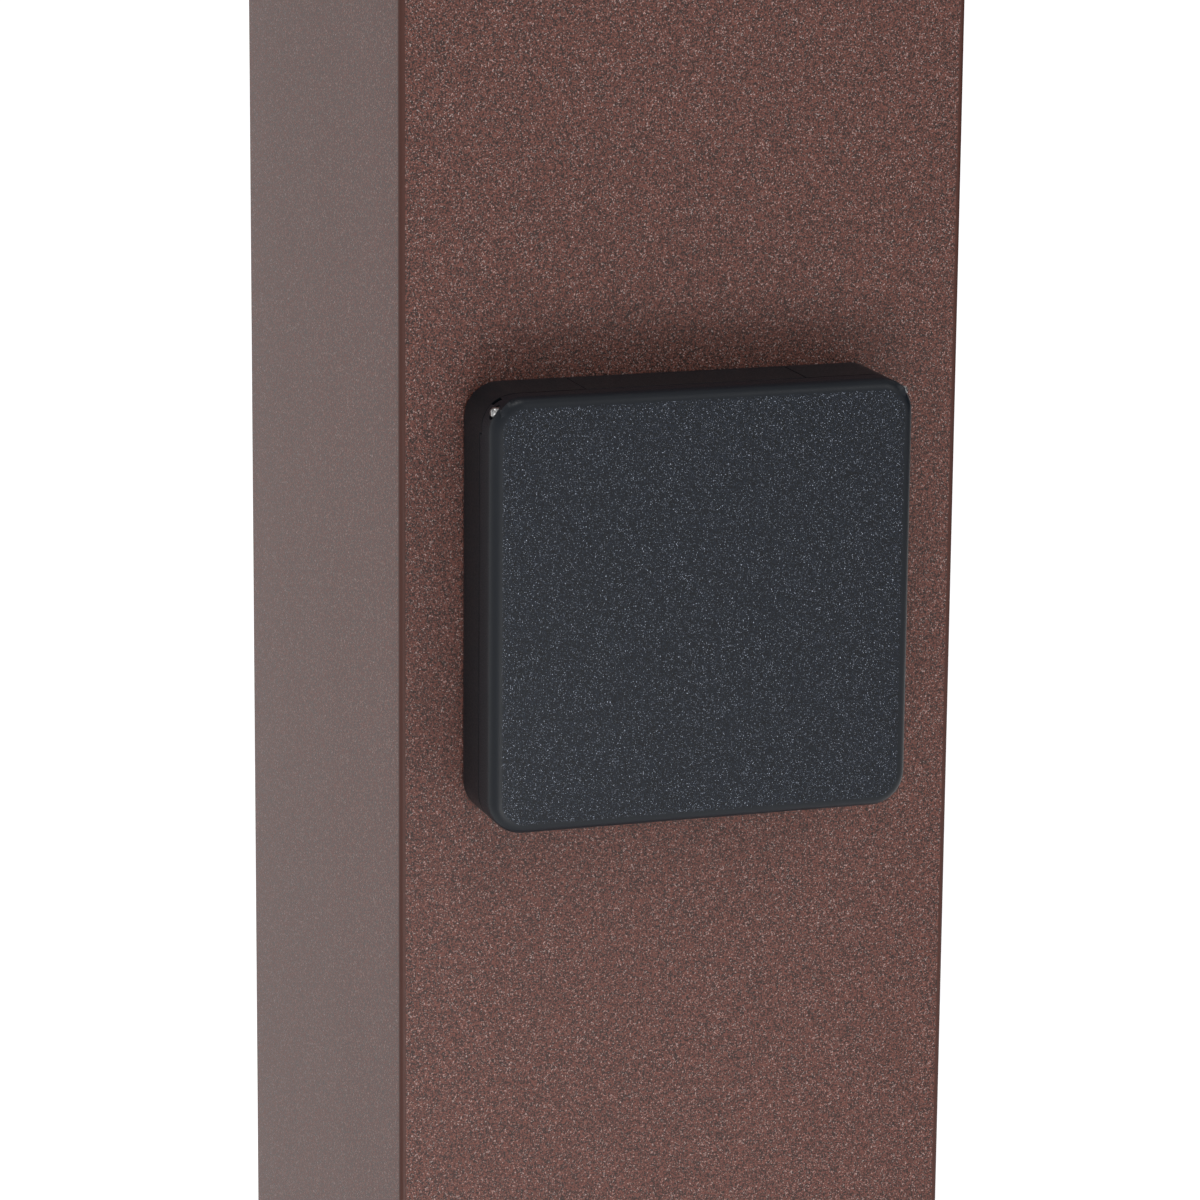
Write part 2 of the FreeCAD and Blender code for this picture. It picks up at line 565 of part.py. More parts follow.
def make_hinge_block():
    """The middle of the housing's top: it carries two knuckles on arms for the lid's pin."""
    half = "(hinge_block_width / 2 - block_play)"
    slab = outlet_slab("block_slab", "tail_out", "outlet_gasket + 1")
    band = box("block_band", (f"-{half}", half), ("-lid_depth", "5"), ("ledge_foot + 0.1", "outlet_side"))
    blank = common("block_blank", slab, band)
    shaped = cut("block_shaped", blank, hinge_rod("block_trough", "trough_radius"),
                 box("block_notch", ("-outlet_side", "outlet_side"),
                     ("-lid_depth", "-hinge_out + trough_radius"), ("-outlet_side", "hinge_z")))
    pieces = [shaped]
    for i, side in enumerate((-1, 1)):
        span = ordered(f"{side} * ({half} - knuckle_width)", f"{side} * {half}", side)
        pieces.append(hinge_rod(f"knuckle_{i}", "knuckle_radius", *span))
        pieces.append(box(f"neck_{i}", span, ("-hinge_out - 1", "-hinge_out + 0.4"),
                          ("ledge_foot + 0.1", "hinge_z")))
        pieces.append(box(f"arm_{i}", span, ("-hinge_out - 1", "-hinge_out + trough_radius + 0.5"),
                          ("ledge_foot + 0.1", "hinge_z - trough_radius - 0.1")))
    bore = hinge_rod("block_bore", "pin_radius + pin_play")
    in_socket("hinge_block", cut("block_part", fuse("block_body", *pieces), bore))
    make_lid_spring()


def make_lid_spring():
    """The closing spring: its wound part as rings round the pin, with one leg on the block."""
    rings = []
    pitch = "spring_wire"
    for i in range(16):
        x = f"({i} - 7.5) * {pitch}"
        ring = doc.addObject("Part::Torus", f"spring_turn_{i}")
        ring.Placement.Rotation = AXES["x"]
        bind(ring, Radius1="pin_radius + spring_play + spring_wire / 2", Radius2="spring_wire / 2")
        rings.append(place(ring, x, "-hinge_out", "hinge_z"))
    core = hinge_rod("spring_core", "pin_radius + spring_play + spring_wire * 0.75", "-8 * " + pitch,
                     "8 * " + pitch)
    way = hinge_rod("spring_way", "pin_radius + spring_play")
    leg = rod("spring_leg", "spring_wire / 2", "z", "ledge_foot + 1", "hinge_z - pin_radius - 0.6",
              ("-7.5 * " + pitch, "-hinge_out"))
    in_socket("lid_spring", cut("spring_part", fuse("spring_body", core, leg, *rings), way))


def make_lid():
    rear = "housing_depth + seam_gap"
    shell = outlet_slab("lid_outer", "lid_depth", rear, rim="lid_edge")
    cavity = outlet_slab("lid_cavity", "lid_depth - lid_wall", f"{rear} - 1", "outlet_corner - lid_wall",
                         "outlet_side - 2 * lid_wall")
    blank = cut("lid_blank", shell, cavity)
    barrels = []
    for i, side in enumerate((-1, 1)):
        span = ordered(f"{side} * (hinge_block_width / 2 + barrel_play)",
                       f"{side} * (half_outlet - lid_wall)", side)
        barrels.append(hinge_rod(f"barrel_{i}", "barrel_radius", *span))
    outline = outlet_slab("lid_outline", "lid_depth", rear)
    trimmed = common("lid_barrels", fuse("lid_barrel_pair", *barrels), outline)
    body = fuse("lid_body", blank, trimmed)
    behind = box("lid_behind", ("-outlet_side", "outlet_side"), ("-hinge_out + tail_radius", "0"),
                 ("ledge_foot - 0.2", "outlet_side"))
    above = cut("lid_tail_cut", box("lid_above", ("-outlet_side", "outlet_side"), ("-hinge_out", "0"),
                                    ("hinge_z", "outlet_side")), hinge_rod("lid_tail", "tail_radius"))
    inside = "(half_outlet - lid_wall)"
    under = cut("lid_under_cut", box("lid_under", (f"-{inside}", inside), ("-hinge_out", "0"),
                                     ("hinge_z", "hinge_z + lid_floor_rise")),
                hinge_rod("barrel_keep", "barrel_radius"))
    room = "hinge_block_width / 2 + 0.4"
    relief = hinge_rod("knuckle_room", "knuckle_radius + knuckle_play", f"-({room})", room)
    bore = hinge_rod("lid_pin_bore", "pin_radius + pin_grip")
    eyes = [hinge_rod(f"pin_eye_{i}", "pin_radius + eye_play",
                      *ordered(f"{side} * (half_outlet - lid_wall - 0.5)", f"{side} * (half_outlet + 1)", side))
            for i, side in enumerate((-1, 1))]
    in_socket("lid", cut("lid_part", body, behind, above, under, relief, bore, *eyes))
    reach = "half_outlet - pin_inset"
    in_socket("hinge_pin", hinge_rod("pin", "pin_radius", f"-({reach})", reach))
    back = "-collar_out - seal_clear"
    ring = rod("seal_ring", "seal_radius + seal_width / 2", "y", "-lid_depth + lid_wall", back)
    core = rod("seal_core", "seal_radius - seal_width / 2", "y", "-lid_depth", "0")
    in_socket("lid_seal", cut("seal", ring, core))


def make_insert():
    """The plug recess: a flange screwed to the housing, a collar in front and a cup behind."""
    flange = rod("insert_flange", "flange_radius", "y", "-flange_face", "-flange_face + flange_thick")
    collar = rod("insert_collar", "collar_radius", "y", "-collar_out", "insert_back")
    rim = rod("insert_rim", "seal_radius + 1", "y", "-collar_out", "-flange_face")
    recess = rod("insert_recess", "recess_radius", "y", "-lid_depth", "recess_floor")
    pins = [rod(f"insert_pin_{i}", "pin_hole_radius", "y", "0", "insert_back + 1",
                (f"{side} * pin_spacing / 2", "0")) for i, side in enumerate((-1, 1))]
    slots = [box(f"earth_slot_{i}", ("-earth_half - 0.2", "earth_half + 0.2"),
                 ("-collar_out + earth_start - 1", "insert_back + 1"),
                 ordered(f"{side} * (recess_radius - 2)", f"{side} * (recess_radius + 1.5)", side))
             for i, side in enumerate((-1, 1))]
    bores = [rod(f"insert_bore_{i}", "small_screw_shank + bore_play", "y", "-lid_depth", "0",
                 (f"{side} * (flange_radius - insert_screw_inset)", "0")) for i, side in enumerate((-1, 1))]
    in_socket("socket_insert", cut("insert_part", fuse("insert_body", flange, collar, rim), recess, *pins,
                                   *slots, *bores))
    screws = []
    clips = []
    for i, side in enumerate((-1, 1)):
        at = (f"{side} * (flange_radius - insert_screw_inset)", "0")
        head = rod(f"insert_head_{i}", "small_screw_head", "y", "-flange_face - small_screw_rise",
                   "-flange_face", at)
        shank = rod(f"insert_shank_{i}", "small_screw_shank", "y", "-flange_face",
                    "-flange_face + insert_screw_length", at)
        screws.append(fuse(f"insert_screw_{i}", head, shank))
        blade = box(f"earth_blade_{i}", ("-earth_half", "earth_half"),
                    ("-collar_out + earth_start", "insert_back"),
                    ordered(f"{side} * (recess_radius + 0.3)",
                            f"{side} * (recess_radius + 0.3 + earth_thick)", side))
        nose = box(f"earth_nose_{i}", ("-earth_half", "earth_half"),
                   ("-collar_out + earth_start", "-collar_out + earth_start + earth_nose"),
                   ordered(f"{side} * (recess_radius - 1.2)", f"{side} * (recess_radius + 0.6)", side))
        clips.append(fuse(f"earth_clip_{i}", blade, nose))
    in_socket("insert_screws", group("insert_screw_set", screws))
    in_socket("earth_contacts", group("earth_clip_set", clips))


def make_pot():
    """The closed rear of the outlet, with the shutter, the contact sleeves and their clamping screws."""
    blank = rod("pot_blank", "pot_radius", "y", "insert_back", "pot_back")
    chamber = box("shutter_chamber", ("-chamber_half", "chamber_half"),
                  ("insert_back - 1", "shutter_y + shutter_thick + chamber_play"),
                  ("-chamber_low", "shutter_high + chamber_play"))
    tools = [chamber]
    sleeves = []
    screws = []
    for i, side in enumerate((-1, 1)):
        x = f"{side} * pin_spacing / 2"
        tools.append(rod(f"sleeve_bore_{i}", "sleeve_radius + thread_play", "y", "sleeve_y - 0.3",
                         "sleeve_y + sleeve_length", (x, "0")))
        tools.append(rod(f"clamp_bore_{i}", "clamp_radius + thread_play", "z", "0", "pot_radius",
                         (x, "sleeve_y + sleeve_length - clamp_inset")))
        outer = rod(f"sleeve_outer_{i}", "sleeve_radius", "y", "sleeve_y", "sleeve_y + sleeve_length", (x, "0"))
        inner = rod(f"sleeve_inner_{i}", "sleeve_radius - sleeve_wall", "y", "sleeve_y - 1",
                    "sleeve_y + sleeve_length * 0.7", (x, "0"))
        sleeves.append(cut(f"sleeve_{i}", outer, inner))
        screws.append(rod(f"clamp_screw_{i}", "clamp_radius", "z", "sleeve_radius + 0.1",
                          "sleeve_radius + 0.1 + clamp_length",
                          (x, "sleeve_y + sleeve_length - clamp_inset")))
    tools.append(rod("lead_entry", "lead_radius + 0.2", "y", "pot_back - 4.5", "pot_back + 1",
                     ("socket_lead_x - socket_shift", "0")))
    in_socket("socket_pot", cut("pot_part", blank, *tools))
    in_socket("contact_sleeves", group("sleeve_set", sleeves))
    in_socket("clamping_screws", group("clamp_set", screws))
    plate = box("shutter_blank", ("-shutter_half", "shutter_half"),
                ("shutter_y", "shutter_y + shutter_thick"), ("-shutter_low", "shutter_high"))
    windows = [rod(f"shutter_window_{i}", "pin_hole_radius + 0.3", "y", "0", "pot_back",
                   (f"{side} * pin_spacing / 2", "shutter_travel")) for i, side in enumerate((-1, 1))]
    in_socket("shutter", cut("shutter_part", plate, *windows))
    middle = "shutter_y + shutter_thick / 2"
    coil = rod("shutter_coil", "coil_radius", "z", "-chamber_low + 0.1", "-shutter_low - 0.1", ("0", middle))
    grooves = []
    for i in range(7):
        ring = doc.addObject("Part::Torus", f"coil_groove_{i}")
        bind(ring, Radius1="coil_radius + 0.15", Radius2="coil_wire")
        grooves.append(place(ring, "0", middle, f"-chamber_low + 0.9 + {i} * coil_pitch"))
    in_socket("shutter_spring", cut("coil_part", coil, *grooves))


def make_head():
    deck = prism("deck_blank", "XY_Plane", "post_side", "post_side", "deck_thick", "post_corner")
    skirt = tube("deck_ring", "XY_Plane", "spigot_side", "spigot_wall", "deck_skirt", "post_corner")
    place(skirt, z="-deck_skirt")
    bores = side_rods("deck_bore_", "post_screw_shank + thread_play", "-deck_skirt / 2")
    lead = rod("deck_way", "led_lead_radius + 0.6", "z", "-5", "deck_thick + 1", ("driver_x", "driver_y"))
    ways = [rod(f"deck_pillar_bore_{i}", "cap_screw_shank + bore_play", "z", "-1", "deck_thick + 1", at)
            for i, at in enumerate(four("pillar_spread"))]
    node("head_deck", cut("deck_part", fuse("deck_body", deck, skirt), lead, *bores, *ways), z="post_top")
    node("head_screws", side_screws("head_screw", "-deck_skirt / 2"), z="post_top")
    make_lantern()
    make_driver()
    make_cap()


def make_lantern():
    foot = "diffuser_foot"
    tall = "diffuser_top - diffuser_foot"
    node("diffuser", tube("diffuser_tube", "XY_Plane", "diffuser_side", "diffuser_wall", tall, "diffuser_corner"),
         z=foot)
    for name, level in (("lower_gasket", "deck_top"), ("upper_gasket", "diffuser_top")):
        node(name, tube(name + "_ring", "XY_Plane", "diffuser_side", "diffuser_wall + 2", "gasket_thick",
                        "diffuser_corner"), z=level)
    pillars = []
    screws = []
    for i, at in enumerate(four("pillar_spread")):
        shaft = rod(f"pillar_{i}", "pillar_radius", "z", "deck_top", "cap_foot", at)
        low = rod(f"pillar_low_{i}", "cap_screw_shank + thread_play", "z", "deck_top", "deck_top + 12", at)
        high = rod(f"pillar_high_{i}", "cap_screw_shank + thread_play", "z", "cap_foot - 14", "cap_foot", at)
        pillars.append(cut(f"pillar_part_{i}", shaft, low, high))
        head = rod(f"pillar_head_{i}", "cap_screw_head", "z", "post_top - deck_screw_rise", "post_top", at)
        shank = rod(f"pillar_shank_{i}", "cap_screw_shank", "z", "post_top", "deck_top + deck_screw_reach", at)
        screws.append(fuse(f"pillar_screw_{i}", head, shank))
    node("pillars", group("pillar_set", pillars))
    node("pillar_screws", group("pillar_screw_set", screws))
    reflector = cone("reflector", "cone_foot", "cone_tip", "z", "deck_top", "deck_top + cone_height")
    node("reflector_cone", reflector)


def make_driver():
    face = "bracket_y"
    plate = box("bracket_plate", ("driver_x - driver_width / 2", "driver_x + driver_width / 2"),
                (face, f"{face} + bracket_thick"), ("post_top - bracket_height", "post_top"))
    foot = box("bracket_foot_plate", ("driver_x - driver_width / 2", "driver_x - 5"),
               (f"{face} - bracket_foot", face), ("post_top - bracket_thick", "post_top"))
    half = "(driver_width / 2 - ear_side / 2)"
    holes = [rod(f"bracket_hole_{i}", "small_screw_shank + thread_play", "y", "0", "post_side / 2", at)
             for i, at in enumerate((("driver_x - " + half, "driver_top + ear_height / 2"),
                                     ("driver_x + " + half, "driver_top - driver_height - ear_height / 2")))]
    node("driver_bracket", cut("bracket_part", fuse("bracket_body", plate, foot), *holes))
    case = box("driver_case", ("driver_x - driver_width / 2", "driver_x + driver_width / 2"),
               (f"{face} - driver_depth", face), ("driver_top - driver_height", "driver_top"))
    ears = []
    ear_bores = []
    screws = []
    for i, (x, low) in enumerate((("driver_x - " + half, "driver_top"),
                                  ("driver_x + " + half, "driver_top - driver_height - ear_height"))):
        ears.append(box(f"driver_ear_{i}", (f"{x} - ear_side / 2", f"{x} + ear_side / 2"),
                        (f"{face} - ear_thick", face), (low, f"{low} + ear_height")))
        middle = f"{low} + ear_height / 2"
        ear_bores.append(rod(f"driver_bore_{i}", "small_screw_shank + bore_play", "y", f"{face} - 5",
                             f"{face} + 1", (x, middle)))
        head = rod(f"driver_head_{i}", "small_screw_head", "y", f"{face} - ear_thick - small_screw_rise",
                   f"{face} - ear_thick", (x, middle))
        shank = rod(f"driver_shank_{i}", "small_screw_shank", "y", f"{face} - ear_thick",
                    f"{face} + bracket_thick", (x, middle))
        screws.append(fuse(f"driver_screw_{i}", head, shank))
    node("led_driver", cut("driver_part", fuse("driver_body", case, *ears), *ear_bores))
    node("driver_screws", group("driver_screw_set", screws))
    lead = rod("led_lead_run", "led_lead_radius", "z", "driver_top + 0.1", "cap_foot - led_board_thick - 0.1",
               ("driver_x", "driver_y"))
    node("led_lead", lead)


def make_cap():
    side = "spreader_side"
    plate = prism("spreader_blank", "XY_Plane", side, side, "spreader_thick", "post_corner")
    bores = [rod(f"spreader_bore_{i}", "cap_screw_shank + bore_play", "z", "-1", "spreader_thick + 1", at)
             for i, at in enumerate(four("pillar_spread"))]
    node("heat_spreader", cut("spreader_part", plate, *bores), z="cap_foot")
    board = prism("board_blank", "XY_Plane", "led_board_side", "led_board_side", "led_board_thick",
                  "post_corner")
    clear = [rod(f"board_clear_{i}", "pillar_radius + 0.5", "z", "-1", "5", at)
             for i, at in enumerate(four("pillar_spread"))]
    node("led_board", cut("board_part", board, *clear), z="cap_foot - led_board_thick")
    rows = int(number("led_rows"))
    chips = []
    for i in range(rows):
        for j in range(rows):
            x = f"({i} - (led_rows - 1) / 2) * led_pitch"
            y = f"({j} - (led_rows - 1) / 2) * led_pitch"
            chips.append(box(f"led_{i}{j}", (f"{x} - led_side / 2", f"{x} + led_side / 2"),
                             (f"{y} - led_side / 2", f"{y} + led_side / 2"), ("-led_height", "0")))
    node("led_chips", group("led_set", chips), z="cap_foot - led_board_thick")
    block = prism("cap_outer", "XY_Plane", "post_side", "post_side", "cap_height", "post_corner",
                  "post_corner")
    hollow = prism("cap_inner", "XY_Plane", "post_side - 2 * cap_wall", "post_side - 2 * cap_wall",
                   "cap_height - cap_wall")
    bosses = [rod(f"cap_boss_{i}", "cap_boss", "z", "spreader_thick", "cap_height - 1", at)
              for i, at in enumerate(four("pillar_spread"))]
    ways = []
    screws = []
    for i, at in enumerate(four("pillar_spread")):
        ways.append(rod(f"cap_way_{i}", "cap_screw_shank + bore_play", "z", "-1", "cap_height + 1", at))
        ways.append(rod(f"cap_sink_{i}", "cap_screw_head + bore_play", "z", "cap_height - cap_screw_sink",
                        "cap_height + 1", at))
        seat = "total_height - cap_screw_sink"
        head = rod(f"cap_head_{i}", "cap_screw_head", "z", seat, f"{seat} + cap_screw_rise", at)
        key = hexagon(f"cap_key_{i}", "cap_screw_head * 0.5", "z", f"{seat} + cap_screw_rise - cap_screw_key",
                      "total_height", at)
        shank = rod(f"cap_shank_{i}", "cap_screw_shank", "z", "cap_foot - cap_screw_reach", seat, at)
        screws.append(cut(f"cap_screw_{i}", fuse(f"cap_screw_solid_{i}", head, shank), key))
    walls = cut("cap_shell", block, hollow)
    node("lamp_cap", cut("cap_part", fuse("cap_body", walls, *bosses), *ways), z="cap_foot")
    node("cap_screws", group("cap_screw_set", screws))


def check_document():
    """Stop on a failed object or a sub-part with no valid solid."""
    doc.recompute()
    for thing in doc.Objects:
        if "Invalid" in thing.State or "Error" in thing.State:
            raise RuntimeError(f"{thing.Name} failed: {thing.State}")
    for name, thing in nodes.items():
        if thing.Shape.isNull() or not thing.Shape.isValid() or not thing.Shape.Solids:
            raise RuntimeError(f"{name} has no valid solid")


def write_steps():
    os.makedirs("parts", exist_ok=True)
    for name, thing in nodes.items():
        thing.Shape.exportStep(f"parts/{name}.step")
        print(f"{name}: {len(thing.Shape.Solids)} solid(s), {thing.Shape.Volume:.1f} mm3")


sizes = fill_sheet("Sizes", SIZES, False)
places = fill_sheet("Places", PLACES, True)
make_base()
make_post()
make_earth()
make_supply()
make_outlet()
make_head()
check_document()
write_steps()
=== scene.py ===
"""A square bollard with a lantern head and a weatherproof socket, dressed and lit for close studio views.

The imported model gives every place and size. The classes below dress its pieces with procedural finishes and
put finer surfaces where the plain solids need them. A name that ends in _mm is in millimetres, as are the
points of every profile; everything else is in metres.
"""
import json
import logging
import math
from collections.abc import Sequence
from dataclasses import dataclass, replace
from enum import Enum

import bmesh
import bpy
import numpy as np
from mathutils import Matrix, Vector


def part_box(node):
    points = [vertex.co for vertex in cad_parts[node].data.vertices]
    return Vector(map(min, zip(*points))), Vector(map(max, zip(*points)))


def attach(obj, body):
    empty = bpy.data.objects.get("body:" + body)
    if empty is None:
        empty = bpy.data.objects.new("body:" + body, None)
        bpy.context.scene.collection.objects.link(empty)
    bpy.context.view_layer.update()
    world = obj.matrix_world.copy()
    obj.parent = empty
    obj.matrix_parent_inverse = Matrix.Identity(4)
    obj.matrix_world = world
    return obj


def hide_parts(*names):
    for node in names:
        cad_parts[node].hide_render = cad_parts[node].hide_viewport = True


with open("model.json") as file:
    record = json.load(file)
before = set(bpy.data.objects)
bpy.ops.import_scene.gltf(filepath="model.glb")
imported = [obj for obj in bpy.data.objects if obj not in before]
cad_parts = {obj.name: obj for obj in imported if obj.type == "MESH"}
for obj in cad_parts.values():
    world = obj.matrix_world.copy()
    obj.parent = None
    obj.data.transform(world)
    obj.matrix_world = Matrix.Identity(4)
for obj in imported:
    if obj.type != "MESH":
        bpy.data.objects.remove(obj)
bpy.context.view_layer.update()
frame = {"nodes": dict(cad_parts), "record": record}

MM = 0.001
WELD = 1e-6
# Between these two levels lies nearly all of a noise texture's output.
NOISE_LOW, NOISE_HIGH = 0.3, 0.7
log = logging.getLogger("bollard")


# ---------------------------------------------------------------- node helpers

def linear(colour: str) -> tuple[float, float, float, float]:
    """Turn an sRGB hex colour into linear RGBA.

    Args:
        colour: six hex digits, such as "6a4a44".

    Returns:
        Linear red, green, blue and an alpha of 1.
    """
    parts = [int(colour[i:i + 2], 16) / 255 for i in (0, 2, 4)]
    return (*[p / 12.92 if p <= 0.04045 else ((p + 0.055) / 1.055) ** 2.4 for p in parts], 1.0)


def add(tree: bpy.types.NodeTree, kind: str, inputs: dict | None = None, **settings) -> bpy.types.Node:
    """Add a node with its settings, its constant inputs and its links.

    Args:
        tree: the node tree to add to.
        kind: the node's type name, without the "ShaderNode" in front.
        inputs: socket name or index to a constant, or to an output socket to link from.
        settings: attributes set on the node itself.

    Returns:
        The new node.
    """
    node = tree.nodes.new("ShaderNode" + kind)
    for name, value in settings.items():
        setattr(node, name, value)
    for key, value in (inputs or {}).items():
        socket = node.inputs[key]
        if isinstance(value, bpy.types.NodeSocket):
            tree.links.new(value, socket)
        else:
            socket.default_value = value
    return node


def per_metre(size_mm: float) -> float:
    """The texture scale that makes one cell of a pattern this many millimetres."""
    return 1.0 / (size_mm * MM)


@dataclass(frozen=True)
class Finish:
    """A moulded or lacquered surface: two tones, a fine grain, slow clouds and rubbed gloss.

    Attributes:
        name: the finish in a maker's words.
        tone: sRGB hex of the surface.
        shade: sRGB hex of its darker grain.
        grain_mm: size of the grain.
        relief_mm: height of the grain.
        roughness: middle roughness.
        spread: how far the roughness wanders.
        metallic: 0 for paint and plastic, 1 for bare metal.
        ior: refractive index of the binder or polymer.
        cloud_mm: size of the slow variation.
        cloud: strength of the slow variation, 0 to 1.
        sharpness: half the width of the step between the two tones, on the grain's scale of 0 to 1.
        detail: how many finer layers the grain has.
        specular: strength of the mirror reflection; 0.5 is that of the refractive index alone, and a skin
            that is broken up finer than the eye sees has less.
    """
    name: str
    tone: str
    shade: str
    grain_mm: float = 0.4
    relief_mm: float = 0.01
    roughness: float = 0.5
    spread: float = 0.08
    metallic: float = 0.0
    ior: float = 1.5
    cloud_mm: float = 40.0
    cloud: float = 0.15
    sharpness: float = 0.15
    detail: float = 4.0
    specular: float = 0.5

    def material(self) -> bpy.types.Material:
        """Build the finish once and hand the same material out afterwards."""
        known = bpy.data.materials.get(self.name)
        if known:
            return known
        made = bpy.data.materials.new(self.name)
        made.use_nodes = True
        tree = made.node_tree
        tree.nodes.clear()
        shader = add(tree, "BsdfPrincipled", {"Metallic": self.metallic, "IOR": self.ior,
                                               "Specular IOR Level": self.specular})
        self.dress(tree, shader)
        add(tree, "OutputMaterial", {"Surface": shader.outputs[0]})
        return made

    def stretch(self, tree: bpy.types.NodeTree, place: bpy.types.NodeSocket) -> bpy.types.NodeSocket:
        """The coordinates that the grain reads. Plain ones here; a drawn metal draws them out."""
        return place

    def flatness(self, tree: bpy.types.NodeTree, place: bpy.types.NodeSocket) -> bpy.types.NodeSocket | float:
        """How much of the grain shows at a place, 0 to 1. All of it here."""
        return 1.0

    def dress(self, tree: bpy.types.NodeTree, shader: bpy.types.Node) -> None:
        """Link colour, roughness and relief to the shader.

        Args:
            tree: the material's node tree.
            shader: its Principled shader.
        """
        place = add(tree, "TexCoord").outputs["Object"]
        shown = self.flatness(tree, place)
        grain = add(tree, "TexNoise", {"Vector": self.stretch(tree, place), "Scale": per_metre(self.grain_mm),
                                       "Detail": self.detail, "Roughness": 0.6}).outputs[0]
        cloud = add(tree, "TexNoise", {"Vector": place, "Scale": per_metre(self.cloud_mm),
                                       "Detail": 3.0}).outputs[0]
        colour = self.colour(tree, place, grain, cloud, shown)
        gloss = add(tree, "MapRange", {"Value": grain, "From Min": NOISE_LOW, "From Max": NOISE_HIGH,
                                       "To Min": self.roughness - self.spread,
                                       "To Max": self.roughness + self.spread}).outputs[0]
        relief = add(tree, "Bump", {"Height": grain, "Strength": shown,
                                    "Distance": self.relief_mm * MM}).outputs[0]
        for socket, value in (("Base Color", colour), ("Roughness", gloss), ("Normal", relief)):
            tree.links.new(value, shader.inputs[socket])

    def colour(self, tree: bpy.types.NodeTree, place: bpy.types.NodeSocket, grain: bpy.types.NodeSocket,
               cloud: bpy.types.NodeSocket, shown: bpy.types.NodeSocket | float) -> bpy.types.NodeSocket:
        """Mix the two tones by the grain, then darken slowly by the clouds.

        Args:
            tree: the material's node tree.
            place: the coordinates.
            grain: the fine noise.
            cloud: the slow noise.
            shown: how much of the grain shows.

        Returns:
            The colour's socket.
        """
        share = add(tree, "MapRange", {"Value": grain, "From Min": 0.5 - self.sharpness,
                                       "From Max": 0.5 + self.sharpness}).outputs[0]
        mixed = add(tree, "Mix", {0: share, 6: linear(self.shade), 7: linear(self.tone)},
                    data_type="RGBA").outputs[2]
        dim = add(tree, "MapRange", {"Value": cloud, "From Min": NOISE_LOW, "From Max": NOISE_HIGH,
                                     "To Min": 1.0 - self.cloud, "To Max": 1.0}).outputs[0]
        return add(tree, "Mix", {0: 1.0, 6: mixed, 7: dim}, data_type="RGBA",
                   blend_type="MULTIPLY").outputs[2]


@dataclass(frozen=True)
class Structured(Finish):
    """A structured skin: pebbles and pits, with painted glints that stand for tiny flakes catching the light.

    Attributes:
        glint: sRGB hex of the painted glints, which stand for flakes catching the light.
        glint_mm: size of the painted glints.
        rare: noise level above which a painted glint shows; higher is rarer.
        rise: how far above that level it shows in full.
        bright: how much of the painted glint's colour shows at most.
        bare: sRGB hex where the grain runs out: on the powder coat painted shade on the corners, on the lid
            the smooth rim's own tone.
    """
    glint: str = "d8c8c0"
    glint_mm: float = 0.3
    rare: float = 0.62
    rise: float = 0.12
    bright: float = 0.5
    bare: str = "4a2c26"

    def colour(self, tree: bpy.types.NodeTree, place: bpy.types.NodeSocket, grain: bpy.types.NodeSocket,
               cloud: bpy.types.NodeSocket, shown: bpy.types.NodeSocket | float) -> bpy.types.NodeSocket:
        """The grained colour with painted glints where a second noise peaks, fading to the bare tone, which
        on the powder coat is painted corner shade.
        """
        base = super().colour(tree, place, grain, cloud, shown)
        # painted glints: a pale highlight colour mixed into the base colour where a second noise peaks
        peaks = add(tree, "TexNoise", {"Vector": place, "Scale": per_metre(self.glint_mm),
                                       "Detail": 1.0}).outputs[0]
        chosen = add(tree, "MapRange", {"Value": peaks, "From Min": self.rare,
                                        "From Max": self.rare + self.rise,
                                        "To Max": self.bright}).outputs[0]
        painted_glints = add(tree, "Mix", {0: chosen, 6: base, 7: linear(self.glint)}, data_type="RGBA").outputs[2]
        # where the grain doesn't show, the bare tone: painted shade on the powder coat's corners, the smooth
        # rim's own tone on the lid
        return add(tree, "Mix", {0: shown, 6: linear(self.bare), 7: painted_glints}, data_type="RGBA").outputs[2]


@dataclass(frozen=True)
class PowderCoat(Structured):
    """Powder coat on a square tube: the grain stops in a band along each corner, where the darker bare tone
    is painted shade.

    Attributes:
        half_mm: half the tube's side.
        shaded_band_mm: width of the band at a corner where the grain stops and painted shade is laid.
        soft_mm: half the width over which the grain fades out.
    """
    half_mm: float = 55.0
    shaded_band_mm: float = 1.1
    soft_mm: float = 0.1

    def flatness(self, tree: bpy.types.NodeTree, place: bpy.types.NodeSocket) -> bpy.types.NodeSocket:
        """1 on the faces and 0 where the nearer of |x| and |y| comes within the band of the corner, which
        gets the painted corner shade.
        """
        parts = add(tree, "SeparateXYZ", {0: place}).outputs
        sides = [add(tree, "Math", {0: parts[i]}, operation="ABSOLUTE").outputs[0] for i in (0, 1)]
        inner = add(tree, "Math", {0: sides[0], 1: sides[1]}, operation="MINIMUM").outputs[0]
        edge = (self.half_mm - self.shaded_band_mm) * MM
        return add(tree, "MapRange", {"Value": inner, "From Min": edge - self.soft_mm * MM,
                                      "From Max": edge + self.soft_mm * MM,
                                      "To Min": 1.0, "To Max": 0.0}).outputs[0]


@dataclass(frozen=True)
class LidSkin(Structured):
    """A moulded lid whose structured skin covers only its flat face; the rim is smooth.

    Attributes:
        face_mm: y of the flat face.
        start_mm: depth behind the face at which the skin begins to fade.
        fade_mm: depth at which it has gone.
    """
    face_mm: float = -73.9
    start_mm: float = 0.005
    fade_mm: float = 0.06

    def flatness(self, tree: bpy.types.NodeTree, place: bpy.types.NodeSocket) -> bpy.types.NodeSocket:
        """1 on the flat face, falling to 0 behind it."""
        depth = add(tree, "SeparateXYZ", {0: place}).outputs[1]
        return add(tree, "MapRange", {"Value": depth, "From Min": (self.face_mm + self.start_mm) * MM,
                                      "From Max": (self.face_mm + self.fade_mm) * MM,
                                      "To Min": 1.0, "To Max": 0.0}).outputs[0]


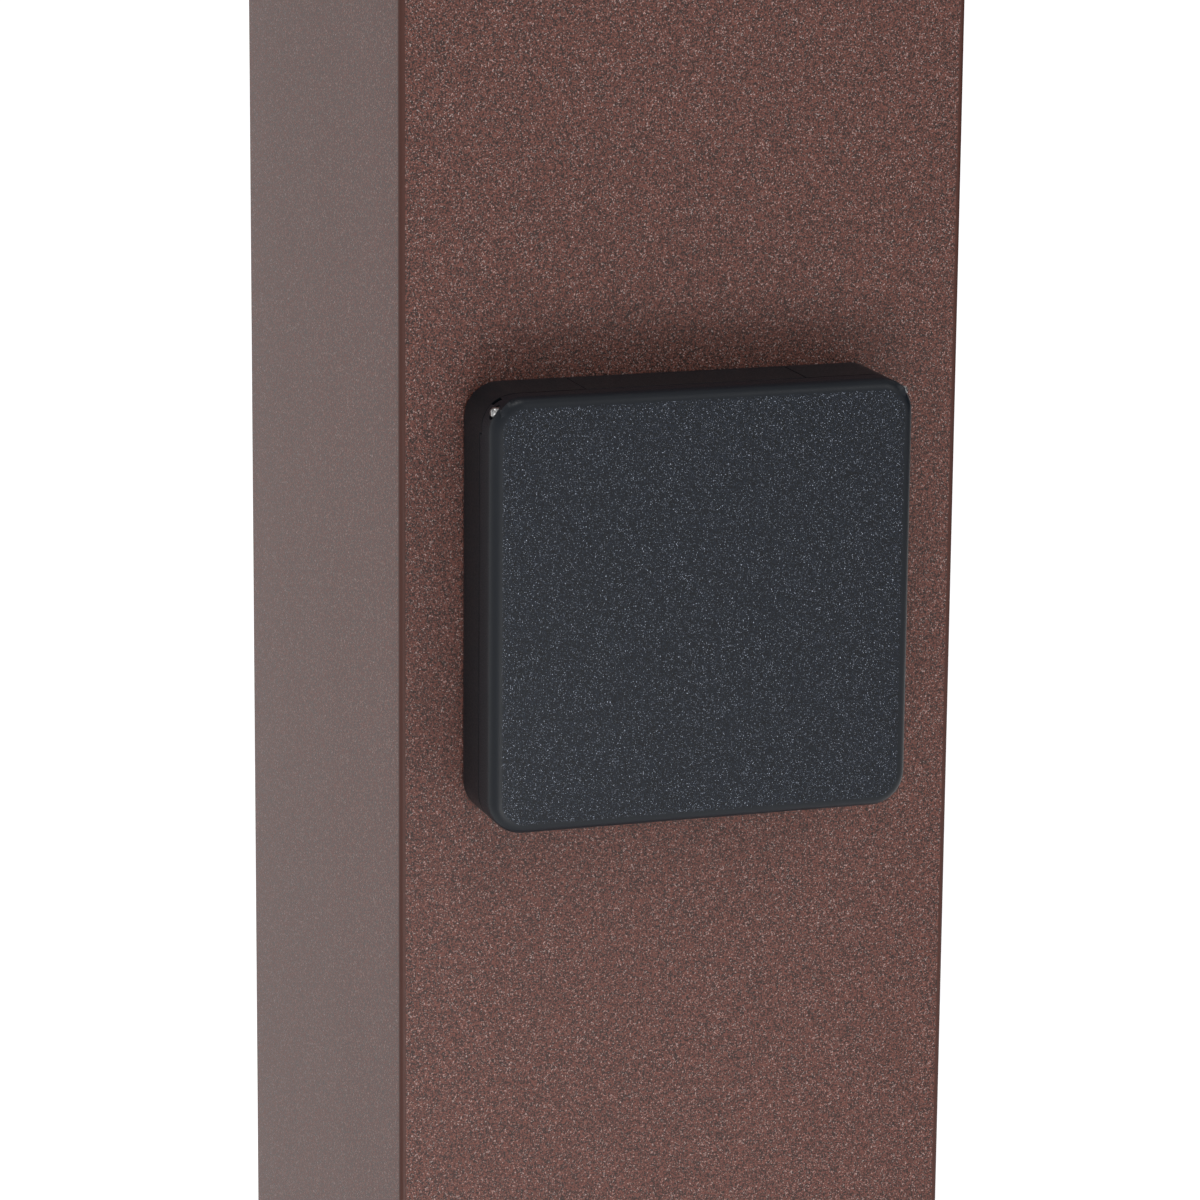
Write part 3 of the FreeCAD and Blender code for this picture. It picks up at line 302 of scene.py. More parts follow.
@dataclass(frozen=True)
class Drawn(Finish):
    """Metal with a lay: the grain is drawn out along one axis.

    Attributes:
        lay: scale of the coordinates on x, y and z; a small number draws the grain out along that axis.
    """
    lay: tuple[float, float, float] = (1.0, 1.0, 0.04)

    def stretch(self, tree: bpy.types.NodeTree, place: bpy.types.NodeSocket) -> bpy.types.NodeSocket:
        """Coordinates squeezed along the lay."""
        return add(tree, "Mapping", {"Vector": place, "Scale": self.lay}).outputs[0]


@dataclass(frozen=True)
class Opal(Finish):
    """Opal acrylic: light goes in and scatters under a satin skin.

    Attributes:
        scatter_mm: how far the light spreads.
        weight: how much of the light does so.
    """
    scatter_mm: float = 6.0
    weight: float = 0.8

    def dress(self, tree: bpy.types.NodeTree, shader: bpy.types.Node) -> None:
        """Add the light that spreads under the skin."""
        super().dress(tree, shader)
        shader.inputs["Subsurface Weight"].default_value = self.weight
        shader.inputs["Subsurface Radius"].default_value = (1.0, 1.0, 1.0)
        shader.inputs["Subsurface Scale"].default_value = self.scatter_mm * MM


# Fine-structure polyester powder: a skin of pebbles near 0.3 mm wide with dark pits, painted glints for its
# pale sparks, and a darker bare tone painted as shade on the corners.
RUST_COAT = PowderCoat("rust-brown fine-structure powder coat on aluminium", "633930", "20120e", grain_mm=0.3,
                       relief_mm=0.09, roughness=0.5, cloud_mm=60, cloud=0.06, sharpness=0.13, detail=1.0,
                       specular=0.3, glint="f6dcd6", glint_mm=0.26, rare=0.62, bright=0.3, bare="3c1a10")
# The same coat on the base flange, which is wide, so its corner band of painted shade lies further out than
# the tube's.
PLATE_COAT = replace(RUST_COAT, name="rust-brown fine-structure powder coat on the flange", half_mm=85.0)
# Glass-filled polyamide with an eroded texture on its face: near-black blue-grey, with painted glints for its
# cool sparkle.
LID_COAT = LidSkin("anthracite structured polyamide", "141a24", "05070a", grain_mm=0.25, relief_mm=0.05,
                   roughness=0.42, cloud_mm=30, cloud=0.05, sharpness=0.13, detail=1.0, specular=0.2,
                   glint="ccd6e8", glint_mm=0.17, rare=0.667, bright=0.8, bare="0f1319")
# Polyamide from a polished tool: almost black, with a soft satin shine along its edges.
HOUSING = Finish("near-black satin moulded polyamide", "161b1f", "12161a", grain_mm=0.3, relief_mm=0.003,
                 roughness=0.36, ior=1.53, specular=0.12)
# Thermoset pressed in a bright tool: deep black and glossier than the housing.
INSERT = Finish("black glossy moulded thermoset", "0e0e10", "0a0a0c", grain_mm=0.6, relief_mm=0.002,
                roughness=0.28)
# Acetal: a waxy mid grey.
SHUTTER = Finish("grey moulded acetal", "5a5a5c", "505052", grain_mm=0.5, relief_mm=0.003, roughness=0.4)
# Cellular rubber: dull black with open pores.
RUBBER = Finish("black cellular rubber", "141414", "080808", grain_mm=0.35, relief_mm=0.03, roughness=0.85)
# Polycarbonate: a soft light grey, barely grained.
BOX_GREY = Finish("light grey moulded polycarbonate", "bdc0c0", "b2b5b5", grain_mm=0.5, relief_mm=0.006,
                  roughness=0.45)
# Unfilled polyamide: creamy white.
TERMINAL = Finish("natural polyamide", "ddd9cc", "cfcabc", grain_mm=0.6, relief_mm=0.004, roughness=0.5)
# The driver's case: white with a spark-eroded matt skin.
DRIVER = Finish("white moulded polycarbonate", "d8d8d4", "cccbc7", grain_mm=0.5, relief_mm=0.006,
                roughness=0.42)
# Baked white lacquer: bright and even, with a slight flow.
LACQUER = Finish("white lacquered aluminium", "e8e8e4", "dededa", grain_mm=1.2, relief_mm=0.008,
                 roughness=0.35)
# Solder mask: glossy white with a faint green cast.
BOARD = Finish("white solder mask on an aluminium-core board", "e2e6e2", "d4dad4", grain_mm=0.8,
               relief_mm=0.004, roughness=0.3)
# Phosphor in silicone: egg yellow, softly domed.
PHOSPHOR = Finish("yellow phosphor in silicone", "e8c850", "d8b440", grain_mm=0.3, relief_mm=0.01,
                  roughness=0.3)
# Rubber jacket: dull black.
JACKET = Finish("black rubber cable jacket", "121212", "0c0c0c", grain_mm=0.5, relief_mm=0.01, roughness=0.6)
# Opal acrylic: milky, with light bleeding round its edges.
OPAL = Opal("opal acrylic", "f0f0ec", "eaeae6", grain_mm=0.8, relief_mm=0.003, roughness=0.3, ior=1.49,
            cloud=0.02)
# Zinc: blue-grey with slow patches from the bath.
ZINC = Finish("zinc-plated steel", "a6a9ac", "8c8f93", grain_mm=3.0, relief_mm=0.004, roughness=0.38,
              metallic=1.0, cloud=0.2)
# Turned stainless steel: fine drawn lines.
STAINLESS = Drawn("turned stainless steel", "b4b3b0", "98979a", grain_mm=0.25, relief_mm=0.004, roughness=0.3,
                  metallic=1.0)
# Extruded aluminium: pale, with die lines along the bar.
ALUMINIUM = Drawn("extruded bare aluminium", "c6c8ca", "aeb0b2", grain_mm=0.3, relief_mm=0.004,
                  roughness=0.35, metallic=1.0)
# Turned brass: warm yellow.
BRASS = Drawn("turned brass", "c8a860", "a88a48", grain_mm=0.25, relief_mm=0.003, roughness=0.32,
              metallic=1.0)
# Nickel on brass: warm silver and bright.
NICKEL = Drawn("nickel-plated brass", "b8b4aa", "a09c92", grain_mm=0.3, relief_mm=0.003, roughness=0.25,
               metallic=1.0)

SLOT_FINISH: dict[str, Finish] = {
    "brown_coat": RUST_COAT, "zinc_steel": ZINC, "stainless": STAINLESS, "brass": BRASS,
    "nickel_gland": NICKEL, "housing_black": HOUSING, "lid_anthracite": LID_COAT, "insert_black": INSERT,
    "shutter_grey": SHUTTER, "seal_rubber": RUBBER, "box_grey": BOX_GREY, "terminal_white": TERMINAL,
    "opal_acrylic": OPAL, "reflector_white": LACQUER, "bare_aluminium": ALUMINIUM, "board_white": BOARD,
    "led_phosphor": PHOSPHOR, "driver_case": DRIVER, "lead_jacket": JACKET,
}


# ---------------------------------------------------------------- surfaces

class Axis(Enum):
    """Which way a piece's height points. The value picks its (across, up, height) for x, y and z."""
    X = (2, 0, 1)
    Y = (0, 2, 1)
    Z = (0, 1, 2)


def softened(corners: Sequence[tuple[float, float, float]], closed: bool = False,
             steps: int = 6) -> np.ndarray:
    """Round the corners of a profile.

    Each corner P with setback s starts at A = P + s * (unit vector to the point before), ends at
    B = P + s * (unit vector to the point after), and follows (1 - t)^2 A + 2 t (1 - t) P + t^2 B. A row
    stands a little outside A and B, so that the flats stay flat in the shading.

    Args:
        corners: (inset, rise, setback) of each corner.
        closed: whether the last corner leads back to the first.
        steps: rows in each rounded corner.

    Returns:
        (rows, 2) of inset and rise.
    """
    table = np.asarray(corners, dtype=float)
    points, setback = table[:, :2], table[:, 2:]
    before = np.roll(points, 1, axis=0) - points
    after = np.roll(points, -1, axis=0) - points
    if not closed:
        before[0] = after[-1] = 0.0
    length = [np.maximum(np.linalg.norm(way, axis=1, keepdims=True), 1e-9) for way in (before, after)]
    starts = points + before / length[0] * setback
    ends = points + after / length[1] * setback
    guard = np.minimum(setback * 0.2 + 0.02, 0.2)
    lead = points + before / length[0] * np.minimum(setback + guard, length[0])
    trail = points + after / length[1] * np.minimum(setback + guard, length[1])
    t = np.linspace(0.0, 1.0, steps)[None, :, None]
    arcs = (1 - t) ** 2 * starts[:, None] + 2 * t * (1 - t) * points[:, None] + t ** 2 * ends[:, None]
    return np.concatenate([lead[:, None], arcs, trail[:, None]], axis=1).reshape(-1, 2)


def outline_rows(sides_mm: tuple[float, float], corner_mm: float, profile: np.ndarray,
                 steps: int = 9) -> np.ndarray:
    """Carry a profile round a rounded rectangle.

    A point is the middle of its corner's circle plus the circle's radius along (cos a, sin a). An inset moves
    the straight sides inward and makes the radius smaller by as much, down to a thousandth of a millimetre. A
    corner as large as half the side makes a circle.

    Args:
        sides_mm: half the width and half the height of the outline.
        corner_mm: its corner radius.
        profile: (rows, 2) of inset and rise.
        steps: points in each corner.

    Returns:
        (rows, columns, 3) of across, up and height.
    """
    quadrant = np.repeat(np.arange(4), steps)
    angle = np.tile(np.linspace(0, np.pi / 2, steps), 4) + quadrant * np.pi / 2
    way = np.stack([np.cos(angle), np.sin(angle)], axis=-1)
    sign = np.stack([np.where(np.isin(quadrant, (0, 3)), 1, -1), np.where(quadrant < 2, 1, -1)], axis=-1)
    inset, rise = profile[:, 0], profile[:, 1]
    radius = np.maximum(corner_mm - inset, 0.001)
    middle = np.maximum(np.asarray(sides_mm) - inset[:, None] - radius[:, None], 0.0)
    flat = sign * middle[:, None] + way * radius[:, None, None]
    return np.concatenate([flat, np.broadcast_to(rise[:, None, None], (*flat.shape[:2], 1))], axis=-1)


def polar_rows(radius: np.ndarray, rise: np.ndarray) -> np.ndarray:
    """Rows from a radius at every angle: (radius cos a, radius sin a, rise).

    Args:
        radius: (rows, columns) of radii.
        rise: (rows,) of heights.

    Returns:
        (rows, columns, 3).
    """
    angle = np.linspace(0, 2 * np.pi, radius.shape[1], endpoint=False)
    height = np.broadcast_to(rise[:, None], radius.shape)
    return np.stack([radius * np.cos(angle), radius * np.sin(angle), height], axis=-1)


def wound_rows(coil_mm: float, wire_mm: float, turns: float, length_mm: float, per_turn: int = 24,
               round_steps: int = 10) -> np.ndarray:
    """A round wire wound on a cylinder.

    The wire's middle goes (R cos a, R sin a, pitch * a / 2 pi). Round it, the wire's skin is the middle plus
    r (cos b N + sin b B), with N pointing away from the axis and B square to N and to the wire.

    Args:
        coil_mm: radius to the wire's middle.
        wire_mm: the wire's radius.
        turns: number of turns.
        length_mm: length from the first middle to the last.
        per_turn: rows in a turn.
        round_steps: columns round the wire.

    Returns:
        (rows, columns, 3).
    """
    angle = np.linspace(0, 2 * np.pi * turns, int(per_turn * turns) + 1)
    rise = length_mm * angle / angle[-1]
    slope = length_mm / angle[-1]
    out = np.stack([np.cos(angle), np.sin(angle), np.zeros_like(angle)], axis=-1)
    ahead = np.stack([-np.sin(angle) * coil_mm, np.cos(angle) * coil_mm, np.full_like(angle, slope)], axis=-1)
    middle = out * coil_mm + np.stack([np.zeros_like(angle), np.zeros_like(angle), rise], axis=-1)
    side = np.cross(ahead / np.linalg.norm(ahead, axis=1, keepdims=True), out)
    turn = np.linspace(0, 2 * np.pi, round_steps, endpoint=False)[None, :, None]
    return middle[:, None] + wire_mm * (np.cos(turn) * out[:, None] + np.sin(turn) * side[:, None])


def stand(rows: np.ndarray, axis: Axis, at_mm: Sequence[float], flip: bool = False) -> np.ndarray:
    """Turn rows so that their height points along an axis, move them and give them in metres.

    Args:
        rows: (rows, columns, 3) in millimetres.
        axis: where the height points.
        at_mm: the place of the rows' origin.
        flip: whether the height points the other way.

    Returns:
        The rows in metres.
    """
    turned = rows * np.array([1, 1, -1 if flip else 1])
    return (turned[..., list(axis.value)] + np.asarray(at_mm, dtype=float)) * MM


def surface(name: str, grids: Sequence[np.ndarray], ring: bool = False, sharp_degrees: float = 40.0
            ) -> bpy.types.Object:
    """Make one object of closed surfaces, each a grid whose columns run round it.

    Args:
        name: the piece's name.
        grids: (rows, columns, 3) in metres, one for each closed surface.
        ring: whether the last row joins the first; otherwise the first and last rows are closed with a face.
        sharp_degrees: edges that turn more than this stay sharp in the shading.

    Returns:
        The object, at the origin.
    """
    faces: list[list[int]] = []
    start = 0
    for grid in grids:
        rows, columns = grid.shape[:2]
        index = np.arange(rows * columns).reshape(rows, columns) + start
        low = index if ring else index[:-1]
        high = np.roll(index, -1, axis=0) if ring else index[1:]
        quads = np.stack([low, np.roll(low, -1, axis=1), np.roll(high, -1, axis=1), high], axis=-1)
        faces += quads.reshape(-1, 4).tolist()
        if not ring:
            faces += [index[0, ::-1].tolist(), index[-1].tolist()]
        start += rows * columns
    mesh = bpy.data.meshes.new(name)
    mesh.from_pydata(np.concatenate([grid.reshape(-1, 3) for grid in grids]), [], faces)
    weld(mesh, sharp_degrees)
    piece = bpy.data.objects.new(name, mesh)
    bpy.context.scene.collection.objects.link(piece)
    return piece


def weld(mesh: bpy.types.Mesh, sharp_degrees: float, flat_degrees: float = 0.0) -> None:
    """Merge a mesh's doubles, turn its faces outward and shade it smooth between its sharp edges.

    Args:
        mesh: the mesh.
        sharp_degrees: edges that turn more than this stay sharp.
        flat_degrees: faces that meet flatter than this are joined; 0 joins none.
    """
    work = bmesh.new()
    work.from_mesh(mesh)
    bmesh.ops.remove_doubles(work, verts=work.verts[:], dist=WELD)
    bmesh.ops.dissolve_degenerate(work, edges=work.edges[:], dist=WELD)
    if flat_degrees:
        bmesh.ops.dissolve_limit(work, angle_limit=math.radians(flat_degrees), verts=work.verts[:],
                                 edges=work.edges[:])
    bmesh.ops.recalc_face_normals(work, faces=work.faces[:])
    work.to_mesh(mesh)
    work.free()
    mesh.shade_smooth()
    mesh.set_sharp_from_angle(angle=math.radians(sharp_degrees))


def soft_copy(node: str, name: str, width_mm: float, segments: int = 3) -> bpy.types.Object:
    """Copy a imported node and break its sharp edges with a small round, as coating or moulding leaves them.

    Args:
        node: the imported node.
        name: the new piece's name.
        width_mm: width of the round.
        segments: faces across it.

    Returns:
        The new object.
    """
    mesh = frame["nodes"][node].data.copy()
    mesh.name = name
    for attribute in [a.name for a in mesh.attributes if a.name.startswith("custom_normal")]:
        mesh.attributes.remove(mesh.attributes[attribute])
    weld(mesh, 35.0, 0.4)
    piece = bpy.data.objects.new(name, mesh)
    bpy.context.scene.collection.objects.link(piece)
    bevel = piece.modifiers.new("broken edges", "BEVEL")
    bevel.width = width_mm * MM
    bevel.segments = segments
    bevel.limit_method = "ANGLE"
    bevel.angle_limit = math.radians(40)
    bevel.harden_normals = True
    return piece


def middle_mm(node: str) -> np.ndarray:
    """The middle of a node's box, in millimetres."""
    low, high = (np.asarray(corner, dtype=float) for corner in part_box(node))
    return (low + high) / 2 / MM


def half_mm(node: str) -> np.ndarray:
    """Half the size of a node's box, in millimetres."""
    low, high = (np.asarray(corner, dtype=float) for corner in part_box(node))
    return (high - low) / 2 / MM


def material_slot(node: str) -> str:
    """The record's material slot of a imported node."""
    return next(part["material_slot"] for part in frame["record"]["subparts"] if part["node"] == node)


def fit(piece: bpy.types.Object, node: str, body: str = "root", finish: Finish | None = None) -> None:
    """Dress a new piece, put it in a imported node's place and let it ride on its body.

    Args:
        piece: the new piece.
        node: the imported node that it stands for.
        body: the body that it rides on.
        finish: its finish, or None for that of the node's slot.
    """
    slot = material_slot(node)
    piece.data.materials.clear()
    piece.data.materials.append((finish or SLOT_FINISH[slot]).material())
    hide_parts(node)
    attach(piece, body)
    log.info("made %s for %s on %s", piece.name, node, body)


# ---------------------------------------------------------------- the bollard's sub-assemblies

@dataclass
class Column:
    """The coated pieces: flange, post, deck and cap, with their edges broken as the coat leaves them.

    Attributes:
        edge_mm: round on the tube's and plates' edges.
    """
    edge_mm: float = 0.35

    def build(self) -> None:
        """Make each coated piece from its solid."""
        for node, name, coat in (
                ("base_flange", "coated_flange", PLATE_COAT), ("post", "coated_post", RUST_COAT),
                ("head_deck", "coated_deck", RUST_COAT), ("lamp_cap", "coated_cap", RUST_COAT)):
            fit(soft_copy(node, name, self.edge_mm), node, finish=coat)


@dataclass(frozen=True)
class SocketScrew:
    """A cylinder-head screw with a hexagon socket.

    Attributes:
        head_mm: radius of the head.
        rise_mm: height of the head.
        shank_mm: radius of the shank.
        reach_mm: length of the shank under the head.
        columns: points round it, a multiple of 12.
        rim: where the head's flat rim ends, as a share of its radius.
        key: half the socket's width, as a share of the head's radius.
        deep: depth of the socket's wall, as a share of the head's height.
    """
    head_mm: float
    rise_mm: float
    shank_mm: float
    reach_mm: float
    columns: int = 48
    rim: float = 0.62
    key: float = 0.44
    deep: float = 0.6

    def rows(self) -> np.ndarray:
        """The screw with its seat at height 0 and its head above.

        The profile goes up the shank, out under the head, round its rim, in to the socket and down to its
        floor. The socket's radius is its half width over the cosine of the angle from the nearest flat's
        middle, which draws a hexagon.
        """
        head, rise, shank, reach = self.head_mm, self.rise_mm, self.shank_mm, self.reach_mm
        round_part = softened([(shank * 0.1, -reach, 0), (shank, -reach, shank * 0.15), (shank, 0, 0.1),
                               (head, 0, 0.15), (head, rise, rise * 0.15), (head * self.rim, rise, 0)])
        angle = np.linspace(0, 2 * np.pi, self.columns, endpoint=False)
        hexagon = head * self.key / np.cos(np.mod(angle, np.pi / 3) - np.pi / 6)
        circle = np.ones(self.columns)
        # chamfer, wall, rounded foot of the wall and a shallow cone down to the middle
        socket = np.stack([hexagon * 1.05, hexagon, hexagon, hexagon * 0.96, 0.05 * circle])
        depth = np.array([0, 0.04, self.deep - 0.05, self.deep, self.deep + 0.1]) * rise
        radius = np.concatenate([round_part[:, :1] * circle, socket])
        return polar_rows(radius, np.concatenate([round_part[:, 1], rise - depth]))


@dataclass
class Fasteners:
    """The socket screws of the post's two levels, the cap, the outlet's housing and its insert.

    Attributes:
        post_screw: in the side faces.
        cap_screw: in the cap.
        housing_screw: in the outlet.
        spacing_mm: distance between the two screws in a side face.
        cap_spread_mm: distance between the cap's screws.
        housing_spread_mm: distance between the housing's screws.
        insert_rise_mm: height of the insert screws' heads.
        insert_shank: their shank as a share of the head.
    """
    post_screw: SocketScrew = SocketScrew(5.25, 3.3, 3.0, 10.0)
    cap_screw: SocketScrew = SocketScrew(4.0, 3.8, 2.0, 35.8)
    housing_screw: SocketScrew = SocketScrew(3.5, 2.4, 2.0, 17.7)
    spacing_mm: float = 50.0
    cap_spread_mm: float = 74.0
    housing_spread_mm: float = 62.0
    insert_rise_mm: float = 1.6
    insert_shank: float = 0.545

    def build(self) -> None:
        """Make the five sets."""
        for node, name in (("foot_screws", "foot_socket_screws"), ("head_screws", "head_socket_screws")):
            self.side_set(node, name)
        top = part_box("cap_screws")[1][2] / MM - self.cap_screw.rise_mm
        grids = [stand(self.cap_screw.rows(), Axis.Z, (x, y, top))
                 for x, y in self.square(self.cap_spread_mm)]
        fit(surface("cap_socket_screws", grids), "cap_screws")
        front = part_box("housing_screws")[0][1] / MM + self.housing_screw.rise_mm
        middle = middle_mm("housing_screws")
        grids = [stand(self.housing_screw.rows(), Axis.Y, (middle[0] + x, front, middle[2] + z), flip=True)
                 for x, z in self.square(self.housing_spread_mm)]
        fit(surface("housing_socket_screws", grids), "housing_screws")
        self.insert_set()

    def side_set(self, node: str, name: str) -> None:
        """Two screws in each side face, their seats on the post's faces.

        Args:
            node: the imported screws.
            name: the new piece's name.
        """
        seat = half_mm("post")[0]
        level = middle_mm(node)[2]
        grids = [stand(self.post_screw.rows(), Axis.X, (side * seat, y, level), flip=side < 0)
                 for side in (-1, 1) for y in (-self.spacing_mm / 2, self.spacing_mm / 2)]
        fit(surface(name, grids), node)

    def insert_set(self) -> None:
        """Two screws beside the recess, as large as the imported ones; their spread follows from the box."""
        half, middle = half_mm("insert_screws"), middle_mm("insert_screws")
        screw = SocketScrew(half[2], self.insert_rise_mm, half[2] * self.insert_shank,
                            2 * half[1] - self.insert_rise_mm)
        seat = middle[1] - half[1] + self.insert_rise_mm
        reach = half[0] - half[2]
        grids = [stand(screw.rows(), Axis.Y, (middle[0] + x, seat, middle[2]), flip=True)
                 for x in (-reach, reach)]
        fit(surface("insert_socket_screws", grids), "insert_screws")

    @staticmethod
    def square(spread_mm: float) -> list[tuple[float, float]]:
        """The four corners of a square pattern."""
        half = spread_mm / 2
        return [(x, y) for x in (-half, half) for y in (-half, half)]


@dataclass
class Lantern:
    """The opal diffuser with its gaskets, the reflector under it and the light engine above.

    Attributes:
        wall_mm: the diffuser's wall.
        corner_mm: its outer corner radius.
        lip_mm: round on its rims.
        gasket_wall_mm: width of the gaskets.
        cone_curve: how far the reflector's side is hollowed, as a share of its radius.
        cone_tip_mm: radius of the reflector's flat top.
        cone_rim_mm: round on its foot and top.
        chip_mm: side of a light chip.
        chip_corner_mm: corner radius of a light chip.
        pitch_mm: distance between light chips.
        rows: chips along each side of the board.
    """
    wall_mm: float = 4.0
    corner_mm: float = 5.0
    lip_mm: float = 0.6
    gasket_wall_mm: float = 6.0
    cone_curve: float = 0.22
    cone_tip_mm: float = 5.0
    cone_rim_mm: float = 0.3
    chip_mm: float = 3.5
    chip_corner_mm: float = 0.3
    pitch_mm: float = 14.0
    rows: int = 4

    def build(self) -> None:
        """Make the lantern's visible pieces."""
        self.frame_ring("diffuser", "opal_diffuser", self.wall_mm, self.lip_mm)
        for node in ("lower_gasket", "upper_gasket"):
            self.frame_ring(node, node + "_ring", self.gasket_wall_mm, half_mm(node)[2] * 0.9)
        self.reflector()
        self.chips()

    def frame_ring(self, node: str, name: str, wall_mm: float, lip_mm: float) -> None:
        """A square ring whose wall section, a rectangle with rounded corners, runs round the outline.

        Args:
            node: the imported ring.
            name: the new piece's name.
            wall_mm: thickness of the wall.
            lip_mm: round on the section's corners.
        """
        half, middle = half_mm(node), middle_mm(node)
        low, high = -half[2], half[2]
        section = softened([(0, low, lip_mm), (0, high, lip_mm), (wall_mm, high, lip_mm),
                            (wall_mm, low, lip_mm)], closed=True)
        rows = outline_rows((half[0], half[1]), self.corner_mm, section, steps=12)
        fit(surface(name, [stand(rows, Axis.Z, middle)], ring=True), node)

    def reflector(self) -> None:
        """The cone, from foot to tip.

        With t from 0 at the foot to 1 at the tip, the radius is tip + (foot - tip) * ((1 - t) minus four
        times the curve's share times t (1 - t)^2), which hollows the side most near the foot.
        """
        half, middle = half_mm("reflector_cone"), middle_mm("reflector_cone")
        tip, rim = self.cone_tip_mm, self.cone_rim_mm
        t = np.linspace(0, 1, 40)
        radius = tip + (half[0] - tip) * ((1 - t) - self.cone_curve * 4 * t * (1 - t) * (1 - t))
        rise = -half[2] + 2 * half[2] * t
        foot = np.array([[0.9 * half[0], -half[2]], [half[0] - rim, -half[2]],
                         [half[0], -half[2] + rim * 0.7]])
        crown = np.array([[tip - rim, half[2]], [0.1, half[2]]])
        profile = np.concatenate([foot, np.stack([radius, rise], axis=-1)[2:-1], crown])
        rows = polar_rows(profile[:, :1] * np.ones(64), profile[:, 1])
        fit(surface("hollow_reflector", [stand(rows, Axis.Z, middle)]), "reflector_cone")

    def chips(self) -> None:
        """Light chips: a square package with a shallow dome of phosphor under it, repeated on the board."""
        half, middle = half_mm("led_chips"), middle_mm("led_chips")
        side, high = self.chip_mm / 2, half[2] * 2
        profile = softened([(side * 0.98, high, 0), (0, high, 0.1), (0, high * 0.45, 0.15),
                            (side * 0.25, high * 0.4, 0.1), (side * 0.55, high * 0.12, 0.3),
                            (side * 0.98, 0, 0)], steps=3)
        rows = outline_rows((side, side), self.chip_corner_mm, profile, steps=4)
        span = (np.arange(self.rows) - (self.rows - 1) / 2) * self.pitch_mm
        grids = [stand(rows, Axis.Z, (middle[0] + x, middle[1] + y, middle[2] - half[2]))
                 for x in span for y in span]
        fit(surface("light_chips", grids), "led_chips")


@dataclass
class Outlet:
    """The socket outlet: gasket, housing, hinge, lid with its seal and spring, and the plug recess.

    Attributes:
        edge_mm: round on the moulded edges.
        lid_edge_mm: round on the lid's edges, which meet the housing.
        pin_dome_mm: height of the pin's domed ends.
        pin_play_mm: room between the pin and the lid spring.
        wire_mm: radius of the lid spring's wire.
        turns: turns of the lid spring.
        seal_mm: width of the lid's seal.
        shutter_wire_mm: radius of the shutter spring's wire.
        shutter_turns: turns of the shutter spring.
    """
    edge_mm: float = 0.25
    lid_edge_mm: float = 0.22
    pin_dome_mm: float = 0.5
    pin_play_mm: float = 0.1
    wire_mm: float = 0.34
    turns: float = 15.75
    seal_mm: float = 4.0
    shutter_wire_mm: float = 0.22
    shutter_turns: float = 7.0

    def build(self) -> None:
        """Make the outlet's visible pieces."""
        fit(soft_copy("socket_housing", "moulded_housing", self.edge_mm), "socket_housing")
        fit(soft_copy("hinge_block", "moulded_hinge_block", self.edge_mm), "hinge_block")
        fit(soft_copy("socket_insert", "moulded_insert", self.edge_mm), "socket_insert")
        fit(soft_copy("lid", "moulded_lid", self.lid_edge_mm), "lid", "lid")
        self.pin()
        self.seal()
        self.springs()

    def pin(self) -> None:
        """The hinge pin: a rod whose ends swell into shallow domes."""
        half, middle = half_mm("hinge_pin"), middle_mm("hinge_pin")
        radius, reach = half[2], half[0]
        bend, shoulder = radius * 0.3, reach - self.pin_dome_mm
        profile = softened([(radius * 0.98, -reach, 0), (radius * 0.45, -reach, bend), (0, -shoulder, bend),
                            (0, shoulder, bend), (radius * 0.45, reach, bend), (radius * 0.98, reach, 0)])
        rows = outline_rows((radius, radius), radius, profile, steps=7)
        fit(surface("domed_hinge_pin", [stand(rows, Axis.X, middle)]), "hinge_pin", "lid")

    def seal(self) -> None:
        """The lid's seal: a ring with a rounded lip, its section carried round a circle."""
        half, middle = half_mm("lid_seal"), middle_mm("lid_seal")
        width, deep = self.seal_mm, half[1]
        section = softened([(0, -deep, 0.2), (0, deep, deep * 0.6), (width, deep, deep * 0.6),
                            (width, -deep, 0.2)], closed=True)
        rows = outline_rows((half[0], half[2]), half[0], section, steps=24)
        fit(surface("lipped_lid_seal", [stand(rows, Axis.Y, middle)], ring=True), "lid_seal", "lid")

    def springs(self) -> None:
        """The lid's closing spring round its pin and the shutter's small return spring."""
        low, high = (np.asarray(corner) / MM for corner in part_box("lid_spring"))
        pin = middle_mm("hinge_pin")
        coil = self.pin_play_mm + half_mm("hinge_pin")[2] + self.wire_mm
        rows = wound_rows(coil, self.wire_mm, self.turns, high[0] - low[0] - 2 * self.wire_mm)
        leg = polar_rows(np.full((2, 10), self.wire_mm), np.array([low[2], pin[2] - coil]))
        start = low[0] + self.wire_mm
        fit(surface("wound_lid_spring", [stand(rows, Axis.X, (start, pin[1], pin[2])),
                                         stand(leg, Axis.Z, (start, pin[1], 0))]), "lid_spring")
        half, middle = half_mm("shutter_spring"), middle_mm("shutter_spring")
        coil = half[0] - self.shutter_wire_mm
        length = 2 * (half[2] - self.shutter_wire_mm)
        rows = wound_rows(coil, self.shutter_wire_mm, self.shutter_turns, length)
        foot = (middle[0], middle[1], middle[2] - length / 2)
        fit(surface("wound_shutter_spring", [stand(rows, Axis.Z, foot)]), "shutter_spring")


def dress_frame() -> None:
    """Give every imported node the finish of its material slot."""
    for part in frame["record"]["subparts"]:
        node = frame["nodes"][part["node"]]
        finish = SLOT_FINISH[part["material_slot"]]
        node.data.materials.clear()
        node.data.materials.append(finish.material())
        log.info("dressed %s in %s", part["node"], finish.name)


# ---------------------------------------------------------------- studio

